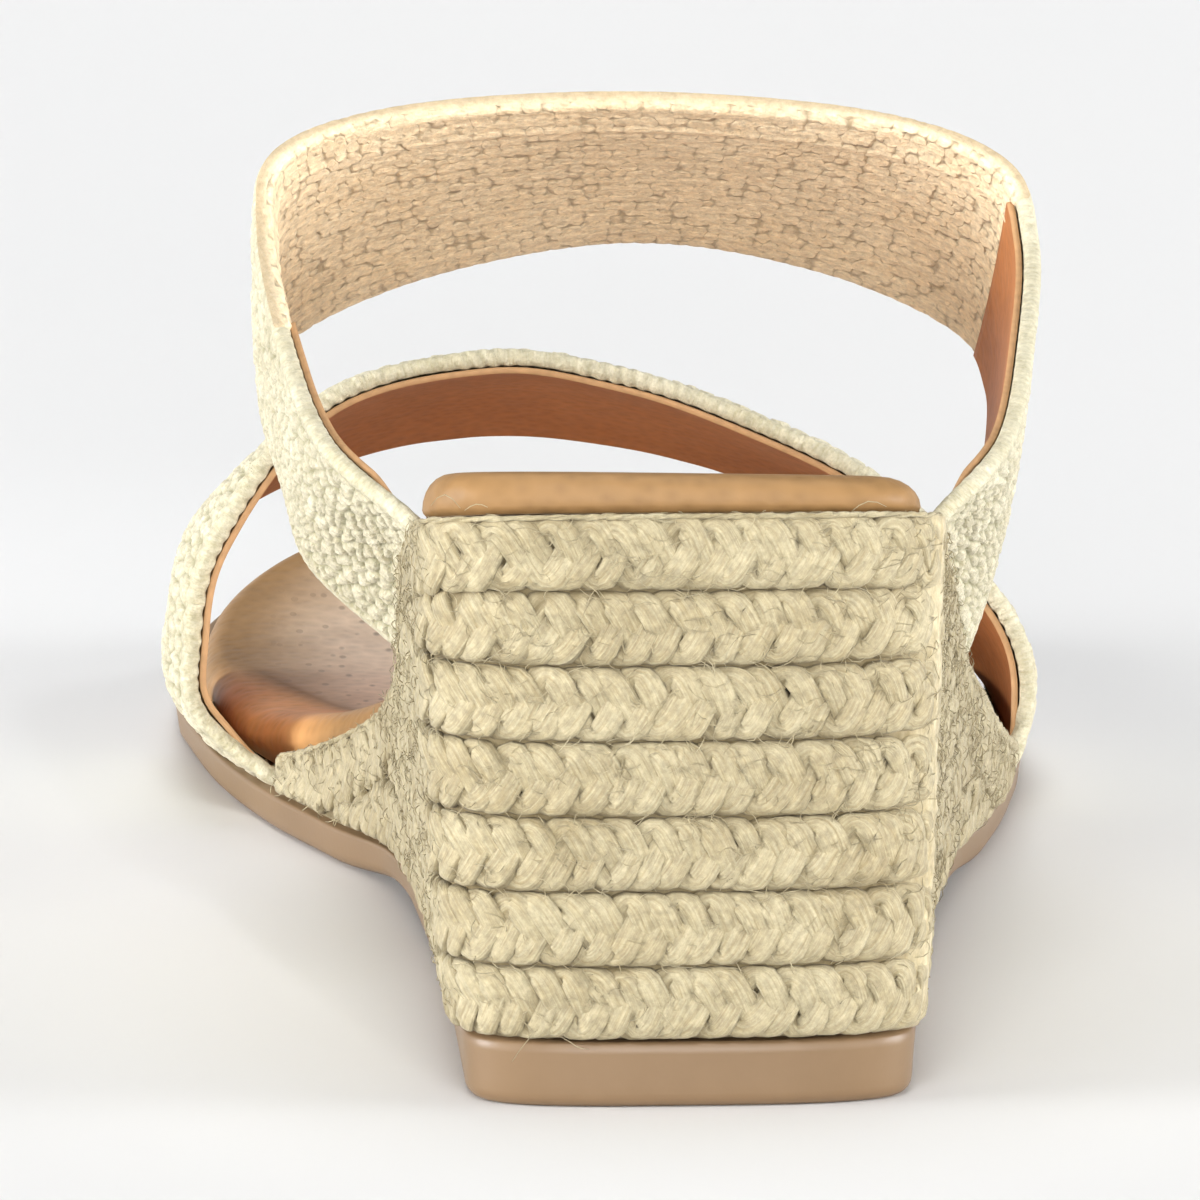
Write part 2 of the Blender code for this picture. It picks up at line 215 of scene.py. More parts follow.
FUZZ_LENGTHS = (1.2 * MM, 3.6 * MM)
FRINGE_LENGTHS = (1.5 * MM, 4.5 * MM)
FUZZ_RADIUS = 0.055 * MM
FUZZ_LIFT = 0.7 * MM
FUZZ_TO_TOP = 0.75
STRAY_LIFT = 1.2 * MM

# Single fibres that stand out at the back of the heel, in millimetres
STRAY_FIBRES = [
    # start x, start z, end x, end z, bow
    (-22.4, 62.7, -19.4, 62.9, 1.3),
    (-19.0, 62.7, -16.9, 63.2, 0.5),
    (-14.4, 8.6, -17.8, 5.0, 0.5),
    (-12.2, 7.9, -9.4, 6.5, -0.4),
    (16.8, 62.4, 20.4, 62.8, 0.9),
]

# Weave of the straps, in millimetres
STITCH_PITCH = 2.1
ROW_PITCH = 2.0
STITCH_LEAN = 0.35
WEAVE_RELIEF = 0.6
FABRIC_FOLD = 0.72
FOLD_BAND = 2.3
FOLD_TURN = math.pi + 0.25
FOLD_ROPE_PITCH = 1.9
INSTEP_FOLD_RELIEF = 0.07
TOE_FOLD_RELIEF = 0.22
LUMP_PITCH = (2.0, 5.4)
FINE_SHARE = 0.3
WEAVE_STEP = 0.36
INSTEP_TAIL = (1.5, 2.0)
TOE_TAIL = (3.4, 0.0)
LINING_THICKNESS = 0.68
LINING_PROUD = 0.25
LINING_SEAT_DEPTH = 1.1
LINING_CUT_BAND = 0.2
LINING_WAVE = 0.06
INSTEP_LINING_INSET = 1.1
TOE_LINING_INSET = 0.36
CROWN_WEAVE_RISE = 0.4
CROWN_EDGE_ROUND = 1.25
CROWN_EDGE_TURN = 2.15
CROWN_SKEW = 3.0
CROWN_ROW_PITCH = 2.3
CROWN_RELIEF = 0.2
# Painted shade that darkens the crown's rear hem, where light falls on it from above
CROWN_HEM_PAINTED_SHADE = 0.32
CROWN_HOLE = 0.4
CROWN_HEM = (0.4, 1.6)
CROWN_RIDGE_AT, CROWN_RIDGE_WIDTH, CROWN_RIDGE_HEIGHT = 7.0, 0.6, 0.15
CROWN_SECTIONS = (1.2, 7.55)
LINING_OVERLAP = {INNER: 2.0, OUTER: 1.0}

# How finely the shapes are divided
CAP_STEPS, SIDE_STEPS = 41, 82
WALL_CAP_STEPS, WALL_SIDE_STEPS = 81, 271
CORE_STEPS, CORE_LEVELS = 500, 41
STRAP_STEPS, STRAP_COLUMNS = 24, 33
FOOTBED_COLUMNS, FOOTBED_BASE_COLUMNS = 41, 5
OUTSOLE_COLUMNS, OUTSOLE_TOP_COLUMNS = 31, 9
LINING_COLUMNS = 17

# Meshes: sides this short are dropped or welded, and tubes with up to this many sides get closed ends
SHORTEST_SIDE = 0.0001 * MM
WELD_DISTANCE = 0.001 * MM
MOST_END_SIDES = 40
RANDOM_SEED = 7


def monotone_curve(table, column):
    """Function of station that runs through a table's column with no overshoot."""
    xs = np.array([row[0] for row in table]) * MM
    ys = np.array([row[column] for row in table]) * MM
    widths = np.diff(xs)
    chords = np.diff(ys) / widths
    before, after = chords[:-1], chords[1:]
    same_way = before * after > 0
    inner = np.where(same_way, 2 * before * after / np.where(same_way, before + after, 1.0), 0.0)
    slopes = np.concatenate([chords[:1], inner, chords[-1:]])

    def value(station):
        station = np.clip(station, xs[0], xs[-1])
        i = np.clip(np.searchsorted(xs, station, side="right") - 1, 0, len(widths) - 1)
        width, rise = widths[i], ys[i + 1] - ys[i]
        t = (station - xs[i]) / width
        cubic = (width * (slopes[i] + slopes[i + 1]) - 2 * rise) * t**3
        square = (3 * rise - width * (2 * slopes[i] + slopes[i + 1])) * t**2
        return ys[i] + width * slopes[i] * t + square + cubic

    return value


def curves(table):
    """One curve for each column of a table after its stations."""
    return [monotone_curve(table, column) for column in range(1, len(table[0]))]


inner_top, outer_top, inner_floor, outer_floor = curves(SOLE_WIDTHS)
EDGE_CURVES = {
    (INNER, TOP_LEVEL): inner_top,
    (OUTER, TOP_LEVEL): outer_top,
    (INNER, FLOOR_LEVEL): inner_floor,
    (OUTER, FLOOR_LEVEL): outer_floor,
}
underside, outsole_thickness, footbed_rise = curves(SOLE_HEIGHTS)
*insole_insets, strap_inset, wedge_inset = curves(EDGE_INSETS)
*insole_rolls, insole_roll_depth = curves(INSOLE_ROLLS)


def outsole_top(station):
    return underside(station) + outsole_thickness(station)


def wedge_top(station):
    """Height that the footbed rests on."""
    return outsole_top(station) + footbed_rise(station)


def heel_back(level):
    """Station of the heel's back, which leans in under the foot towards the floor."""
    return HEEL_UNDERCUT * (TOP_LEVEL - level)


def place(x, station, z):
    """Points of the shoe in the part's own frame."""
    return np.stack(np.broadcast_arrays(x, station - LENGTH / 2, z), axis=-1)


def smoothstep(value, start, end):
    t = np.clip((value - start) / (end - start), 0.0, 1.0)
    return t * t * (3 - 2 * t)


def between(value, start, end):
    """Rises from 0 to 1 over a first range, and falls back over a second one."""
    return smoothstep(value, *start) * (1 - smoothstep(value, *end))


def across_sole(pair, x, station):
    """Value between the inner side's curve and the outer side's, by the place across the sole."""
    inner, outer = pair
    share = smoothstep(x, -INSOLE_SIDE_BLEND, INSOLE_SIDE_BLEND)
    return inner(station) * (1 - share) + outer(station) * share


def unit(vectors):
    return vectors / np.maximum(np.linalg.norm(vectors, axis=-1, keepdims=True), 1e-12)


def run_lengths(line):
    """Distance along a line of points, from its first one."""
    return np.concatenate([[0.0], np.cumsum(np.linalg.norm(np.diff(line, axis=0), axis=1))])


def scatter(row, cell):
    """Fixed pseudo-random value from 0 to 1 for each cell of a row."""
    return np.modf(np.abs(np.sin(row * 12.9898 + cell * 78.233)) * 43758.5453)[0]


class Patchwork:
    """Grids of points gathered into one mesh, with pattern coordinates and a tone for each corner."""

    def __init__(self):
        self.points, self.faces, self.pattern, self.tone = [], [], [], []
        self.count = 0

    def add(self, grid, along, across, tone, closed=False):
        """Adds a grid, rows along and columns across. A closed grid joins its last column to its first."""
        rows, columns = grid.shape[:2]
        index = self.count + np.arange(rows * columns).reshape(rows, columns)
        coordinates = np.stack(np.broadcast_arrays(along, across), axis=-1)
        shade = np.broadcast_to(tone, (rows, columns))
        if closed:
            index = np.hstack([index, index[:, :1]])
            coordinates = np.hstack([coordinates, coordinates[:, -1:] * 2 - coordinates[:, -2:-1]])
            shade = np.hstack([shade, shade[:, :1]])
        corner = (np.s_[:-1, :-1], np.s_[:-1, 1:], np.s_[1:, 1:], np.s_[1:, :-1])
        flat = grid.reshape(-1, 3)
        faces = np.stack([index[c] for c in corner], axis=-1).reshape(-1, 4)
        local = faces - self.count
        sides = flat[local[:, [0, 3]]] - flat[local[:, [1, 2]]]
        solid = np.linalg.norm(sides, axis=-1).max(axis=1) > SHORTEST_SIDE
        self.points.append(flat)
        self.faces.append(faces[solid])
        self.pattern.append(np.stack([coordinates[c] for c in corner], axis=2).reshape(-1, 4, 2)[solid])
        self.tone.append(np.stack([shade[c] for c in corner], axis=2).reshape(-1, 4)[solid])
        self.count += rows * columns

    def add_plain(self, grid, tone):
        """Adds a grid that needs no pattern, so its rows and columns are just counted."""
        rows, columns = grid.shape[:2]
        self.add(grid, np.arange(rows)[:, None], np.arange(columns)[None, :], tone)

    def make(self, name, material, sheet=False, weld=True):
        """The mesh as an object. Open ends are closed and faces turned outwards, except on a sheet."""
        mesh = bpy.data.meshes.new(name)
        faces = np.concatenate(self.faces)
        mesh.from_pydata(np.concatenate(self.points).tolist(), [], faces.tolist())
        corners = np.concatenate(self.pattern).reshape(-1, 2)
        mesh.uv_layers.new(name="Pattern").uv.foreach_set("vector", corners.astype(np.float32).ravel())
        tone = mesh.attributes.new("tone", "FLOAT", "CORNER")
        tone.data.foreach_set("value", np.concatenate(self.tone).astype(np.float32).ravel())
        bm = bmesh.new()
        bm.from_mesh(mesh)
        if weld:
            bmesh.ops.remove_doubles(bm, verts=bm.verts, dist=WELD_DISTANCE)
            bmesh.ops.dissolve_degenerate(bm, edges=bm.edges, dist=WELD_DISTANCE)
        if not sheet:
            bmesh.ops.holes_fill(bm, edges=bm.edges, sides=MOST_END_SIDES)
            bmesh.ops.recalc_face_normals(bm, faces=bm.faces)
        bm.to_mesh(mesh)
        bm.free()
        mesh.shade_smooth()
        mesh.materials.append(material)
        piece = bpy.data.objects.new(name, mesh)
        bpy.context.scene.collection.objects.link(piece)
        return piece


def ride(piece, slot, *nodes):
    """Fixes a piece to the shoe and lets it stand for solids of the part. The slot is not used."""
    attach(piece, "root")
    if nodes:
        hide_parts(*nodes)
    return piece


# Materials


class Recipe:
    """A material with a Principled shader, and short ways to add nodes to it."""

    def __init__(self, name, **fixed):
        self.material = bpy.data.materials.new(name)
        self.material.use_nodes = True
        self.tree = self.material.node_tree
        self.shader = self.tree.nodes["Principled BSDF"]
        for socket, value in fixed.items():
            self.shader.inputs[socket.replace("_", " ")].default_value = value

    def add(self, kind, settings=None, **inputs):
        node = self.tree.nodes.new("ShaderNode" + kind)
        for name, value in (settings or {}).items():
            setattr(node, name, value)
        for name, value in inputs.items():
            self.join(value, node.inputs[name.replace("_", " ")])
        return node

    def join(self, value, socket):
        if isinstance(value, bpy.types.NodeSocket):
            self.tree.links.new(value, socket)
        else:
            socket.default_value = value

    def place_coordinates(self):
        return self.add("TexCoord").outputs["Object"]

    def pattern(self, scale):
        """The mesh's pattern coordinates in millimetres, times a scale along and across."""
        coordinates = self.add("UVMap", {"uv_map": "Pattern"}).outputs["UV"]
        return self.add("Mapping", Vector=coordinates, Scale=(*scale, 1.0)).outputs["Vector"]

    def tone(self):
        return self.add("Attribute", {"attribute_name": "tone"}).outputs["Fac"]

    def noise(self, vector, scale, detail=3.0, roughness=0.55):
        node = self.add("TexNoise", Vector=vector, Scale=scale, Detail=detail, Roughness=roughness)
        return node.outputs["Fac"]

    def ramp(self, value, stops):
        """Colours between stops, each a place from 0 to 1 and a linear colour."""
        node = self.add("ValToRGB", Fac=value)
        elements = node.color_ramp.elements
        while len(elements) < len(stops):
            elements.new(0.5)
        for element, (at, colour) in zip(elements, stops):
            element.position = at
            element.color = (*colour, 1.0)
        return node.outputs["Color"]

    def mix(self, share, first, second, blend="MIX"):
        node = self.tree.nodes.new("ShaderNodeMix")
        node.data_type = "RGBA"
        node.blend_type = blend
        self.join(share, node.inputs[0])
        for socket, value in ((node.inputs[6], first), (node.inputs[7], second)):
            self.join((*value, 1.0) if isinstance(value, tuple) else value, socket)
        return node.outputs[2]

    def calculate(self, first, operation, second):
        node = self.add("Math", {"operation": operation})
        self.join(first, node.inputs[0])
        self.join(second, node.inputs[1])
        return node.outputs[0]

    def span(self, value, low, high, start=0.0, end=1.0):
        """Maps a range, from 0 to 1 where none is given, onto another."""
        node = self.add("MapRange", Value=value, From_Min=start, From_Max=end, To_Min=low, To_Max=high)
        return node.outputs["Result"]

    def bump(self, height, distance, strength=1.0, normal=None):
        node = self.add("Bump", Height=height, Distance=distance, Strength=strength)
        if normal:
            self.join(normal, node.inputs["Normal"])
        return node.outputs["Normal"]

    def finish(self, colour, roughness, normal):
        self.join(colour, self.shader.inputs["Base Color"])
        self.join(roughness, self.shader.inputs["Roughness"])
        self.join(normal, self.shader.inputs["Normal"])
        return self.material


def fibre_material(name, dark, light, pit_shade, streak_scale, bump_distance, fuzz_distance, stitches=None):
    """Dry plant fibre: streaks along the strands, uneven patches, and painted shade in its pits where the
    tone is 0.

    Stitches, where given, are their number in a millimetre, along and across. Holes lie where they meet, with
    painted shade in them.
    """
    recipe = Recipe(name, Sheen_Weight=0.1, Sheen_Roughness=0.5, Specular_IOR_Level=0.4)
    streaks = recipe.noise(recipe.pattern(streak_scale), 1.0, detail=4.0, roughness=0.65)
    patches = recipe.noise(recipe.place_coordinates(), 110.0, detail=4.0)
    streaky = recipe.calculate(streaks, "MULTIPLY", 0.65)
    patchy = recipe.calculate(patches, "MULTIPLY", 0.35)
    mottle = recipe.calculate(streaky, "ADD", patchy)
    colour = recipe.ramp(mottle, [(0.36, dark), (0.6, light)])
    specks = recipe.noise(recipe.place_coordinates(), 1100.0, detail=5.0, roughness=0.7)
    colour = recipe.mix(1.0, colour, recipe.span(specks, 0.7, 1.2, 0.3, 0.7), "MULTIPLY")
    # Painted shade: a low tone mixes in the shade colour of the pits.
    shaded = recipe.mix(recipe.tone(), pit_shade, colour)
    fuzz = recipe.noise(recipe.place_coordinates(), 2000.0, detail=3.0)
    normal = recipe.bump(streaks, bump_distance, 1.0)
    normal = recipe.bump(fuzz, fuzz_distance, 0.7, normal)
    if stitches:
        cells = recipe.add("TexVoronoi", Vector=recipe.pattern(stitches), Scale=1.0, Randomness=0.6)
        holes = recipe.span(cells.outputs["Distance"], 0.0, 1.0, 0.62, 0.82)
        open_weave = recipe.span(recipe.tone(), 0.0, 1.0, 0.74, 0.8)
        holes = recipe.calculate(holes, "MULTIPLY", open_weave)
        # Painted shade in the holes between stitches.
        shaded = recipe.mix(recipe.span(holes, 0.0, 0.6), shaded, pit_shade)
        normal = recipe.bump(holes, -0.3 * MM, 0.8, normal)
    return recipe.finish(shaded, recipe.span(patches, 0.5, 0.8), normal)


def leather_material(name, dark, light, edge, painted_light, grain, roughness, bump_distance, pore_tone):
    """Smooth leather with a pebbled grain, pores and uneven dye.

    It has its edge colour where the tone is 0, and its colour of painted light where the tone is -1.
    """
    recipe = Recipe(name, Specular_IOR_Level=0.2, Coat_Weight=0.02, Coat_Roughness=0.3)
    at = recipe.place_coordinates()
    long_dots = recipe.add("Mapping", Vector=at, Scale=(560.0, 260.0, 560.0)).outputs["Vector"]
    dots = recipe.add("TexVoronoi", Vector=long_dots, Scale=1.0, Randomness=1.0).outputs["Distance"]
    poreless = recipe.calculate(1.0, "SUBTRACT", recipe.tone())
    dots = recipe.calculate(recipe.span(dots, 0.0, 1.0, 0.1, 0.26), "MAXIMUM", poreless)
    cells = recipe.add("TexVoronoi", {"feature": "SMOOTH_F1"}, Vector=at, Scale=grain, Smoothness=0.6)
    wrinkles = recipe.noise(at, grain * 0.35, detail=5.0)
    clouds = recipe.noise(at, 45.0, detail=4.0)
    colour = recipe.ramp(clouds, [(0.35, dark), (0.65, light)])
    colour = recipe.mix(recipe.tone(), edge, colour)
    # Painted light: below a tone of 0 the colour goes over to the painted light's colour.
    colour = recipe.mix(recipe.calculate(recipe.tone(), "MULTIPLY", -1.0), colour, painted_light)
    for uneven in (recipe.span(cells.outputs["Distance"], 0.82, 1.08), recipe.span(dots, pore_tone, 1.0)):
        colour = recipe.mix(1.0, colour, uneven, "MULTIPLY")
    normal = recipe.bump(dots, bump_distance, 1.0 - pore_tone)
    normal = recipe.bump(cells.outputs["Distance"], bump_distance, 0.8, normal)
    normal = recipe.bump(wrinkles, bump_distance * 2, 0.7, normal)
    low, high = roughness
    return recipe.finish(colour, recipe.span(wrinkles, low, high), normal)


def rubber_material():
    """Gum rubber: even, a little cloudy, with a soft gloss and a fine grain."""
    recipe = Recipe("gum_rubber", Specular_IOR_Level=0.5)
    at = recipe.place_coordinates()
    clouds = recipe.noise(at, 70.0, detail=4.0)
    specks = recipe.noise(at, 1500.0, detail=3.0)
    colour = recipe.ramp(clouds, [(0.3, (0.19, 0.117, 0.058)), (0.7, (0.218, 0.137, 0.071))])
    normal = recipe.bump(specks, 0.03 * MM, 0.4)
    return recipe.finish(colour, recipe.span(clouds, 0.36, 0.46), normal)


def floor_material():
    recipe = Recipe("pale_floor", Specular_IOR_Level=0.2)
    clouds = recipe.noise(recipe.place_coordinates(), 3.0, detail=3.0)
    colour = recipe.ramp(clouds, [(0.2, (0.785, 0.79, 0.795)), (0.8, (0.8, 0.8, 0.8))])
    normal = recipe.bump(clouds, 0.01 * MM, 0.1)
    return recipe.finish(colour, recipe.span(clouds, 0.8, 0.9), normal)


# Sole


def station_of(points):
    return points[..., 1] + LENGTH / 2


def heel_cap(level, side, count):
    """Round back of the heel on one side, as x and station, from its middle to where the side starts."""
    turns = np.linspace(0, math.pi / 2, count)
    depth = HEEL_CAP_DEPTH - heel_back(level)
    station = HEEL_CAP_DEPTH - depth * np.cos(turns) ** (2 / HEEL_CAP_POWER)
    return side * EDGE_CURVES[side, level](HEEL_CAP_DEPTH) * np.sin(turns) ** (2 / HEEL_CAP_POWER), station


def sole_outline(level, inset):
    """Closed plan outline as x and station: the back of the heel, the outer side, the toe and the inner side.

    The inset is a function of x and station.
    """
    turns = np.linspace(0, math.pi / 2, CAP_STEPS)
    sides = []
    for side in (OUTER, INNER):
        width = EDGE_CURVES[side, level]
        ball = BALL_STATION[side]
        heel_x, heel_s = heel_cap(level, side, CAP_STEPS)
        side_s = np.linspace(HEEL_CAP_DEPTH, ball, SIDE_STEPS)[1:-1]
        toe_s = ball + (LENGTH - ball) * np.sin(turns) ** (2 / TOE_POWER)
        toe_half = side * width(ball) - TOE_TIP_X
        toe_x = TOE_TIP_X + toe_half * np.abs(np.cos(turns)) ** (2 / TOE_POWER)
        x = np.concatenate([heel_x, side * width(side_s), toe_x])
        station = np.concatenate([heel_s, side_s, toe_s])
        sides.append(np.stack([x, station], axis=1))
    line = np.concatenate([sides[0], sides[1][-2:0:-1]])
    ahead, behind = np.roll(line, -1, axis=0), np.roll(line, 1, axis=0)
    tangent = unit(ahead - behind)
    normal = np.stack([tangent[:, 1], -tangent[:, 0]], axis=1)
    return line - normal * inset(line[:, 0], line[:, 1])[:, None]


def ladder(ring, columns):
    """Grid across a closed ring, from its outer half to its inner half."""
    half = len(ring) // 2
    outer = ring[: half + 1]
    inner = np.concatenate([ring[:1], ring[:half - 1:-1]])
    share = np.linspace(0, 1, columns)[None, :, None]
    return outer[:, None] * (1 - share) + inner[:, None] * share


def tread(points):
    """Depth of the fine cross grooves under the heel and the forefoot."""
    station = station_of(points)
    wave = np.cos(station / TREAD_PITCH * 2 * math.pi + np.sin(points[..., 0] / TREAD_WAVE) * 1.2)
    zones = 0
    for start, full, fade, end in TREAD_ZONES:
        zones = zones + between(station, (start * MM, full * MM), (fade * MM, end * MM))
    return TREAD_DEPTH * zones * smoothstep(wave, 0.1, 0.6)


def make_outsole(material):
    """Gum rubber outsole with a rounded lower edge, a soft upper lip and fine tread."""
    turns = np.linspace(0, math.pi / 2, 6)
    edge = OUTSOLE_EDGE_ROUND
    profile = [(edge * (1 - math.sin(t)), edge * (1 - math.cos(t)), 0.0) for t in turns]
    for share in OUTSOLE_WALL_SHARES:
        profile.append((-OUTSOLE_FLARE * share, edge * (1 - share), share))
    profile.append((-OUTSOLE_FLARE + OUTSOLE_LIP, 0.0, 1.0))
    rings = []
    for inset, lift, share in profile:
        line = sole_outline(FLOOR_LEVEL, lambda x, s, inset=inset: np.full_like(s, inset))
        station = line[:, 1]
        z = underside(station) + lift + share * outsole_thickness(station)
        rings.append(place(line[:, 0], station, z))
    wall = np.stack(rings, axis=1)
    bottom = ladder(wall[:, 0], OUTSOLE_COLUMNS)
    inside = np.ones(bottom.shape[:2])
    inside[:, [0, -1]] = 0
    bottom[..., 2] += tread(bottom) * inside
    patch = Patchwork()
    closed_wall = np.concatenate([wall, wall[:1]])
    around = run_lengths(closed_wall[:, -1])[:, None] / MM
    patch.add(closed_wall, around, np.arange(wall.shape[1])[None, :], 1.0)
    patch.add_plain(bottom[:, ::-1], 1.0)
    patch.add_plain(ladder(wall[:, -1], OUTSOLE_TOP_COLUMNS), 1.0)
    ride(patch.make("gum_outsole", material), "rubber", "outsole")


def footbed_sheen_and_light(x, station):
    """How much painted grey sheen the leather gets past a slanting line, and how much painted light lifts its
    orange under the toe strap, both from 0 to 1.
    """
    painted_sheen_start = ORANGE_END - ORANGE_SLANT * (x - ORANGE_EDGE)
    painted_sheen = smoothstep(station - painted_sheen_start, -ORANGE_BLEND, ORANGE_BLEND)
    return painted_sheen, (1 - painted_sheen) * between(station, PAINTED_LIGHT_START, PAINTED_LIGHT_END)


def make_footbed(material):
    """Padded leather footbed with rolled edges and a shallow hollow along its middle."""
    turns = np.linspace(0, math.pi / 2, 7)
    profile = [(INSOLE_FOOT_ROUND, 0.0, -1.0), (0.2 * INSOLE_FOOT_ROUND, 0.0, -0.4)]
    profile += [(0.0, 1 - math.cos(t), math.sin(t)) for t in turns]
    rings = []
    for foot_round, roll, lift in profile:

        def inset(x, s):
            return across_sole(insole_insets, x, s) + foot_round + roll * across_sole(insole_rolls, x, s)

        line = sole_outline(TOP_LEVEL, inset)
        x, station = line[:, 0], line[:, 1]
        depth = insole_roll_depth(station)
        foot = INSOLE_THICKNESS - depth
        height = foot + (depth if lift > 0 else foot) * lift
        tilt = INSOLE_HEEL_TILT * (1 - smoothstep(station, *HEEL_TILT_FADE)) * height / INSOLE_THICKNESS
        rings.append(place(x, station, wedge_top(station) + SEAT_GAP + height - x * tilt))
    drop = wedge_top(station) - outsole_top(station) - SEAT_GAP
    rings[0][:, 2] -= drop * smoothstep(station, *INSOLE_DROP)
    wall = np.stack(rings, axis=1)
    top = ladder(wall[:, -1], FOOTBED_COLUMNS)
    share = np.linspace(-1, 1, FOOTBED_COLUMNS)[None, :]
    station = station_of(top)
    top[..., 2] -= FOOTBED_DISH * (1 - share**2) ** 2 * between(station, DISH_START, DISH_END)
    patch = Patchwork()
    closed_wall = np.concatenate([wall, wall[:1]])
    around = run_lengths(closed_wall[:, -1])[:, None] / MM
    rim = closed_wall[:, -1:]
    # Painted light under the toe strap makes the rim's orange lighter.
    _, painted_light = footbed_sheen_and_light(rim[..., 0], station_of(rim))
    patch.add(closed_wall, around, np.arange(wall.shape[1])[None, :], -painted_light)
    # Painted grey sheen across the middle of the top past the slanting line, and painted light under the toe
    # strap.
    sheen_middle = 1 - smoothstep(np.abs(share), 0.6, 1.0)
    painted_sheen, painted_light = footbed_sheen_and_light(top[..., 0], station)
    patch.add(top, station / MM, top[..., 0] / MM, sheen_middle * painted_sheen - painted_light)
    base = ladder(wall[:, 0], FOOTBED_BASE_COLUMNS)
    patch.add_plain(base[:, ::-1], 1.0)
    footbed = ride(patch.make("leather_footbed", material), "leather", "insole")


# Plaited wedge


def wall_line(level):
    """Open plan line of the wedge's wall, x and station, round the heel from inner to outer front."""
    side_s = np.linspace(HEEL_CAP_DEPTH, WEDGE_WALL_END, WALL_SIDE_STEPS)[1:]
    halves = []
    for side in (INNER, OUTER):
        width = EDGE_CURVES[side, level]
        heel_x, heel_s = heel_cap(level, side, WALL_CAP_STEPS)
        side_x = side * (width(side_s) - wedge_inset(side_s - WALL_RUN_ON))
        halves.append(np.stack([np.append(heel_x, side_x), np.append(heel_s, side_s)], axis=1))
    return np.concatenate([halves[0][:0:-1], halves[1]])


class Wall:
    """The wedge's outer wall, as a function of the distance round it and the height."""

    def __init__(self):
        self.low, self.high = wall_line(FLOOR_LEVEL), wall_line(TOP_LEVEL)
        self.run = run_lengths((self.low + self.high) / 2)
        self.length = self.run[-1]
        tangent = unit(np.gradient(self.high, axis=0))
        self.normal = np.stack([tangent[:, 1], -tangent[:, 0]], axis=1)
        heading = np.unwrap(np.arctan2(self.normal[:, 1], self.normal[:, 0]))
        heading = np.maximum.accumulate(heading - heading[len(heading) // 2])
        self.corners = np.interp([-CORNER_HEADING, CORNER_HEADING], heading, self.run)
        self.row_height = (wedge_top(0.0) - outsole_top(0.0) - SEAT_GAP) / BRAID_ROWS

    def along(self, u, columns):
        return np.stack([np.interp(u, self.run, columns[:, k]) for k in (0, 1)], axis=-1)

    def limits(self, u):
        """Heights of the wall's foot, of the groove under its top row, and of its top edge."""
        station = self.along(u, self.high)[..., 1]
        foot, top = outsole_top(station) + SEAT_GAP, wedge_top(station)
        return foot, np.maximum(top - self.row_height, foot), top

    def point(self, u, z, out):
        """Point at a height, moved out of the wall by a distance."""
        low, high = self.along(u, self.low), self.along(u, self.high)
        foot, _, top = self.limits(u)
        lean = np.clip((z - foot) / (top - foot), 0.0, 1.0) ** HEEL_TAPER_POWER
        line = low + (high - low) * lean[..., None] + self.along(u, self.normal) * np.asarray(out)[..., None]
        return place(line[..., 0], line[..., 1], z)

    def corner(self, u):
        """How near each place is to a corner of the heel, from 0 to 1."""
        return sum(np.exp(-(((u - corner) / CORNER_REACH) ** 2)) for corner in self.corners)

    def out(self, u):
        """Outward directions."""
        normal = self.along(u, self.normal)
        return np.concatenate([normal, np.zeros_like(normal[..., :1])], axis=-1)


def slow_noise(rng, u, wavelength):
    """Smooth random curve along a distance, about 1 high."""
    knots = np.arange(u[0] - wavelength, u[-1] + 2 * wavelength, wavelength)
    values = rng.normal(0, 1, len(knots))
    at = (u - knots[0]) / wavelength
    i = at.astype(int)
    t = at - i
    t = t * t * (3 - 2 * t)
    return values[i] * (1 - t) + values[i + 1] * t


def plait_strand(wall, u, middle, height, weave_depth, top_row, phase, rng):
    """One strand of a plait as a grid of points, its run and the depth of its points."""
    fullness = height / wall.row_height
    turn = 2 * math.pi * u / PLAIT_PERIOD + phase + 0.3 * slow_noise(rng, u, 8 * MM)
    swing = PLAIT_SWING * fullness * (1 + 0.07 * slow_noise(rng, u, 9 * MM))
    z = middle + swing * np.sin(turn)
    depth = weave_depth * -np.sin(2 * turn) + PLAIT_PROUD + 0.1 * MM * slow_noise(rng, u, 6 * MM)
    depth = depth - ROW_DIVE * smoothstep(z + STRAND_HALF_WIDTH - top_row, 0.2 * MM, 3.2 * MM)
    centre = wall.point(u, z, depth)
    tangent = unit(np.gradient(centre, axis=0))
    out = wall.out(u)
    out = unit(out - tangent * np.sum(out * tangent, axis=-1, keepdims=True))
    across = np.cross(out, tangent)
    half_width = STRAND_HALF_WIDTH * np.sqrt(fullness) * (1 + 0.09 * slow_noise(rng, u, 5 * MM))
    turns = np.linspace(0, 2 * math.pi, STRAND_SIDES, endpoint=False)
    around = turns[None, :] + STRAND_TWIST * u[:, None] / MM
    fibres = [slow_noise(rng, u, FIBRE_WAVELENGTH) for _ in range(STRAND_SIDES)]
    swell = FIBRE_HEIGHT * np.stack(fibres, axis=1)
    wide = np.cos(around) * (half_width[:, None] + swell)
    flat = np.sign(np.sin(around)) * np.abs(np.sin(around)) ** STRAND_FLATNESS
    thick = flat * (STRAND_HALF_THICKNESS + swell)
    grid = centre[:, None] + across[:, None] * wide[..., None] + out[:, None] * thick[..., None]
    half = height[:, None] / 2
    offset = (grid[..., 2] - middle[:, None]) / half
    over = np.maximum(np.abs(offset) - ROW_PRESS_START, 0) / (1 - ROW_PRESS_START)
    pressed = np.minimum(np.abs(offset), ROW_PRESS_START) + (1 - ROW_PRESS_START) * np.tanh(over)
    recess = ROW_GROOVE * smoothstep(pressed, ROW_PRESS_START, 1.0)
    grid[..., 2] = middle[:, None] + np.sign(offset) * pressed * half
    grid = grid - out[:, None] * recess[..., None]
    return grid, run_lengths(centre), depth[:, None] + thick + swell - recess


